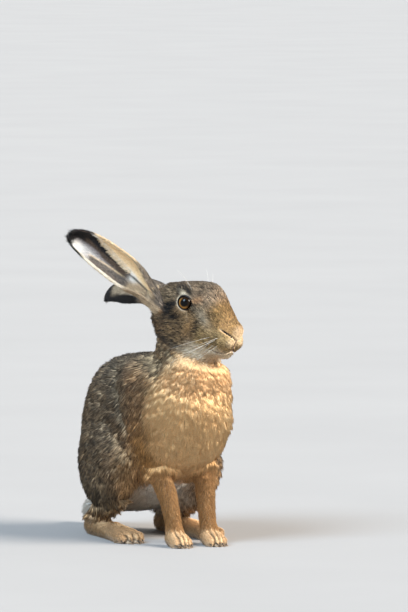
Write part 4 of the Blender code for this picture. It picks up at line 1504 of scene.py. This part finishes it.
def eyeball(word, material):
    """The ball with its cornea's bulge, each vertex told where it lies over the iris."""
    side = SIDES[word]
    centre, looks, long_way, upright = eye_axes(side)
    rows, spots = [], []
    turns = np.linspace(0, 2 * np.pi, 48, endpoint=False)
    for polar in np.concatenate([np.linspace(1.5, 70, 34), np.linspace(76, 178, 14)]):
        polar = math.radians(polar)
        bulge = 0.55 * math.exp(-((polar / 0.62) ** 2))
        radius = EYE_RADIUS + bulge
        ring = long_way * np.cos(turns)[:, None] + upright * np.sin(turns)[:, None]
        rows.append(centre + radius * (looks * math.cos(polar) + ring * math.sin(polar)))
        share = EYE_RADIUS * math.sin(min(polar, math.pi / 2)) / 7.6
        spots.append(np.stack([np.cos(turns), np.sin(turns), np.zeros(48)], 1) * share)
    data = grid_mesh("eyeball_" + word, rows)
    layer = data.attributes.new("eye_place", "FLOAT_VECTOR", "POINT")
    spots = np.concatenate(spots + [np.zeros((1, 3)), np.array([[1.0, 0, 0]])])
    layer.data.foreach_set("vector", spots.astype(np.float32).ravel())
    data.polygons.foreach_set("use_smooth", np.ones(len(data.polygons), bool))
    piece = mesh_piece("eyeball_" + word, data, material)
    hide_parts("eye_" + word)


def lid_rims(material):
    """The dark, moist margins of the lids."""
    meshes = []
    for side in SIDES.values():
        centre, looks, long_way, upright = eye_axes(side)
        rows = []
        for turn in np.linspace(0, 2 * np.pi, 73):
            way = lid_way(side, turn, 1.02)
            ahead = lid_way(side, turn + 0.02, 1.02) - way
            spot = centre + way * (EYE_RADIUS + 0.55)
            outward = unit(np.cross(ahead, way))
            thick = 0.5 + 0.3 * max(math.sin(turn), 0)
            ring = []
            for angle in np.linspace(0, 2 * np.pi, 10, endpoint=False):
                ring.append(spot + way * math.cos(angle) * 0.7 + outward * math.sin(angle) * thick)
            rows.append(np.array(ring))
        meshes.append(grid_mesh("rim", rows[:-1] + [rows[0]], closed_ends=False))
    data = joined("lid_rims", meshes)
    mesh_piece("lid_rims", data, material)


def claw_set(material):
    meshes = []
    turns = np.linspace(0, 2 * np.pi, 10, endpoint=False)
    for toes in toe_rows():
        for left, reach in toes:
            rows = []
            for share in np.linspace(0, 1, 7):
                ahead = reach - 6.5 + 9.5 * share
                up = 4.6 - 1.2 * share - 2.6 * share**2
                size = 1.75 * (1 - share) ** 0.7 + 0.12
                spot = on_body((left, ahead, max(up, size * 0.9)))
                ring = np.stack([np.cos(turns) * 0.8, np.zeros(10), np.sin(turns)], 1) * size
                rows.append(spot + ring)
            meshes.append(grid_mesh("claw", rows))
    data = joined("claws", meshes)
    mesh_piece("claws", data, material)


def whisker(root, way, bend, long):
    """A tapered hair from a root, bending as it goes."""
    rows = []
    for share in np.linspace(0, 1, 13):
        spot = root - way * 0.5 + long * (way * share + bend * share**2 * 0.5)
        tangent = unit(way + bend * share)
        cross = unit(np.cross(tangent, RISE))
        other = np.cross(tangent, cross)
        size = 0.12 * (1 - share) ** 0.6 + 0.02
        turns = (0, np.pi / 2, np.pi, 3 * np.pi / 2)
        rows.append(np.array([spot + size * (cross * math.cos(a) + other * math.sin(a)) for a in turns]))
    return grid_mesh("whisker", rows)


# Whiskers in the head's frame for the left side: root, way, bend and length.
WHISKERS = [
    ((46, 18, -22), (-0.62, 0.50, -0.60), (-0.35, -0.25, -0.35), 46),
    ((50, 18, -25), (-0.58, 0.50, -0.72), (-0.35, -0.25, -0.30), 50),
    ((54, 17, -23), (-0.48, 0.62, -0.66), (-0.45, -0.2, -0.35), 46),
    ((48, 18, -29), (-0.45, 0.42, -0.85), (-0.30, -0.2, -0.20), 42),
    ((53, 17, -29), (-0.34, 0.50, -0.90), (-0.35, -0.2, -0.20), 38),
    ((58, 14, -27), (-0.15, 0.75, -0.70), (-0.45, -0.1, -0.40), 34),
    ((56, 15, -20), (-0.35, 0.80, -0.45), (-0.50, -0.1, -0.40), 40),
    ((3, 16, 17), (-0.30, 0.45, 0.80), (-0.5, 0.1, -0.25), 20),
    ((-1, 17, 17), (-0.40, 0.50, 0.72), (-0.5, 0.1, -0.25), 24),
]


def whisker_set(material, places, coat):
    """Long pale whiskers from the pads, and two over each eye."""
    meshes = []
    head = coat.head
    face = np.nonzero((head[:, 0] > -10) & (head[:, 0] < 90) & (abs(head[:, 1]) < 40))[0]
    tree = kd_of(places[face])
    for side in SIDES.values():
        mirror = np.array([1, side, 1])
        for place, way, bend, long in WHISKERS:
            root = np.array(tree.find(Vector(on_head([place * mirror])[0]))[0])
            way = unit(way * mirror + rng.normal(0, 0.04, 3)) @ HEAD
            meshes.append(whisker(root, way, (bend * mirror) @ HEAD, long))
    data = joined("whiskers", meshes)
    mesh_piece("whiskers", data, material)


def main():
    place_camera()
    studio()
    skin, net, places = build_skin()
    coat = coat_of(skin, net, places)
    places = shape_skin(skin, net, coat, places)
    skin_triangles = loop_triangles(skin)
    wave = field_noise(places, 26, 1) * 0.6 + field_noise(places, 9, 2) * 0.5
    coat.light = coat.light * (1 + 0.16 * wave)[:, None]
    coat.ruffle = 0.16 + 0.10 * step(6, 18, coat.length)
    coat.speckle = 0.10 + 0.32 * step(0.70, 0.30, coat.light[:, 0])
    coat.grain = 0.12 + 0.34 * step(0.8, 0.35, coat.light[:, 0])
    short = step(9, 4, coat.length)
    under = mix(coat.dark * 0.85, mix(coat.light, coat.dark, 0.35), short)
    add_colours(skin, under)
    skin.polygons.foreach_set("use_smooth", np.ones(len(skin.polygons), bool))
    piece = mesh_piece("skin", skin, skin_material())
    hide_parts(*[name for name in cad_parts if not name.startswith("eye_")])
    rough = Rough(skin)
    grow(coat, skin, places, skin_triangles, rough)
    eye_look = eye_material()
    for word in SIDES:
        eyeball(word, eye_look)
    lid_rims(plain_material("lid", (0.004, 0.003, 0.003), (0.012, 0.008, 0.006), 900, 0.5, specular=0.2))
    claw_set(plain_material("claw", (0.03, 0.022, 0.016), (0.10, 0.07, 0.045), 600, 0.4))
    whisker_set(plain_material("whisker", (0.55, 0.50, 0.42), (0.75, 0.70, 0.62), 300, 0.4), places, coat)


main()
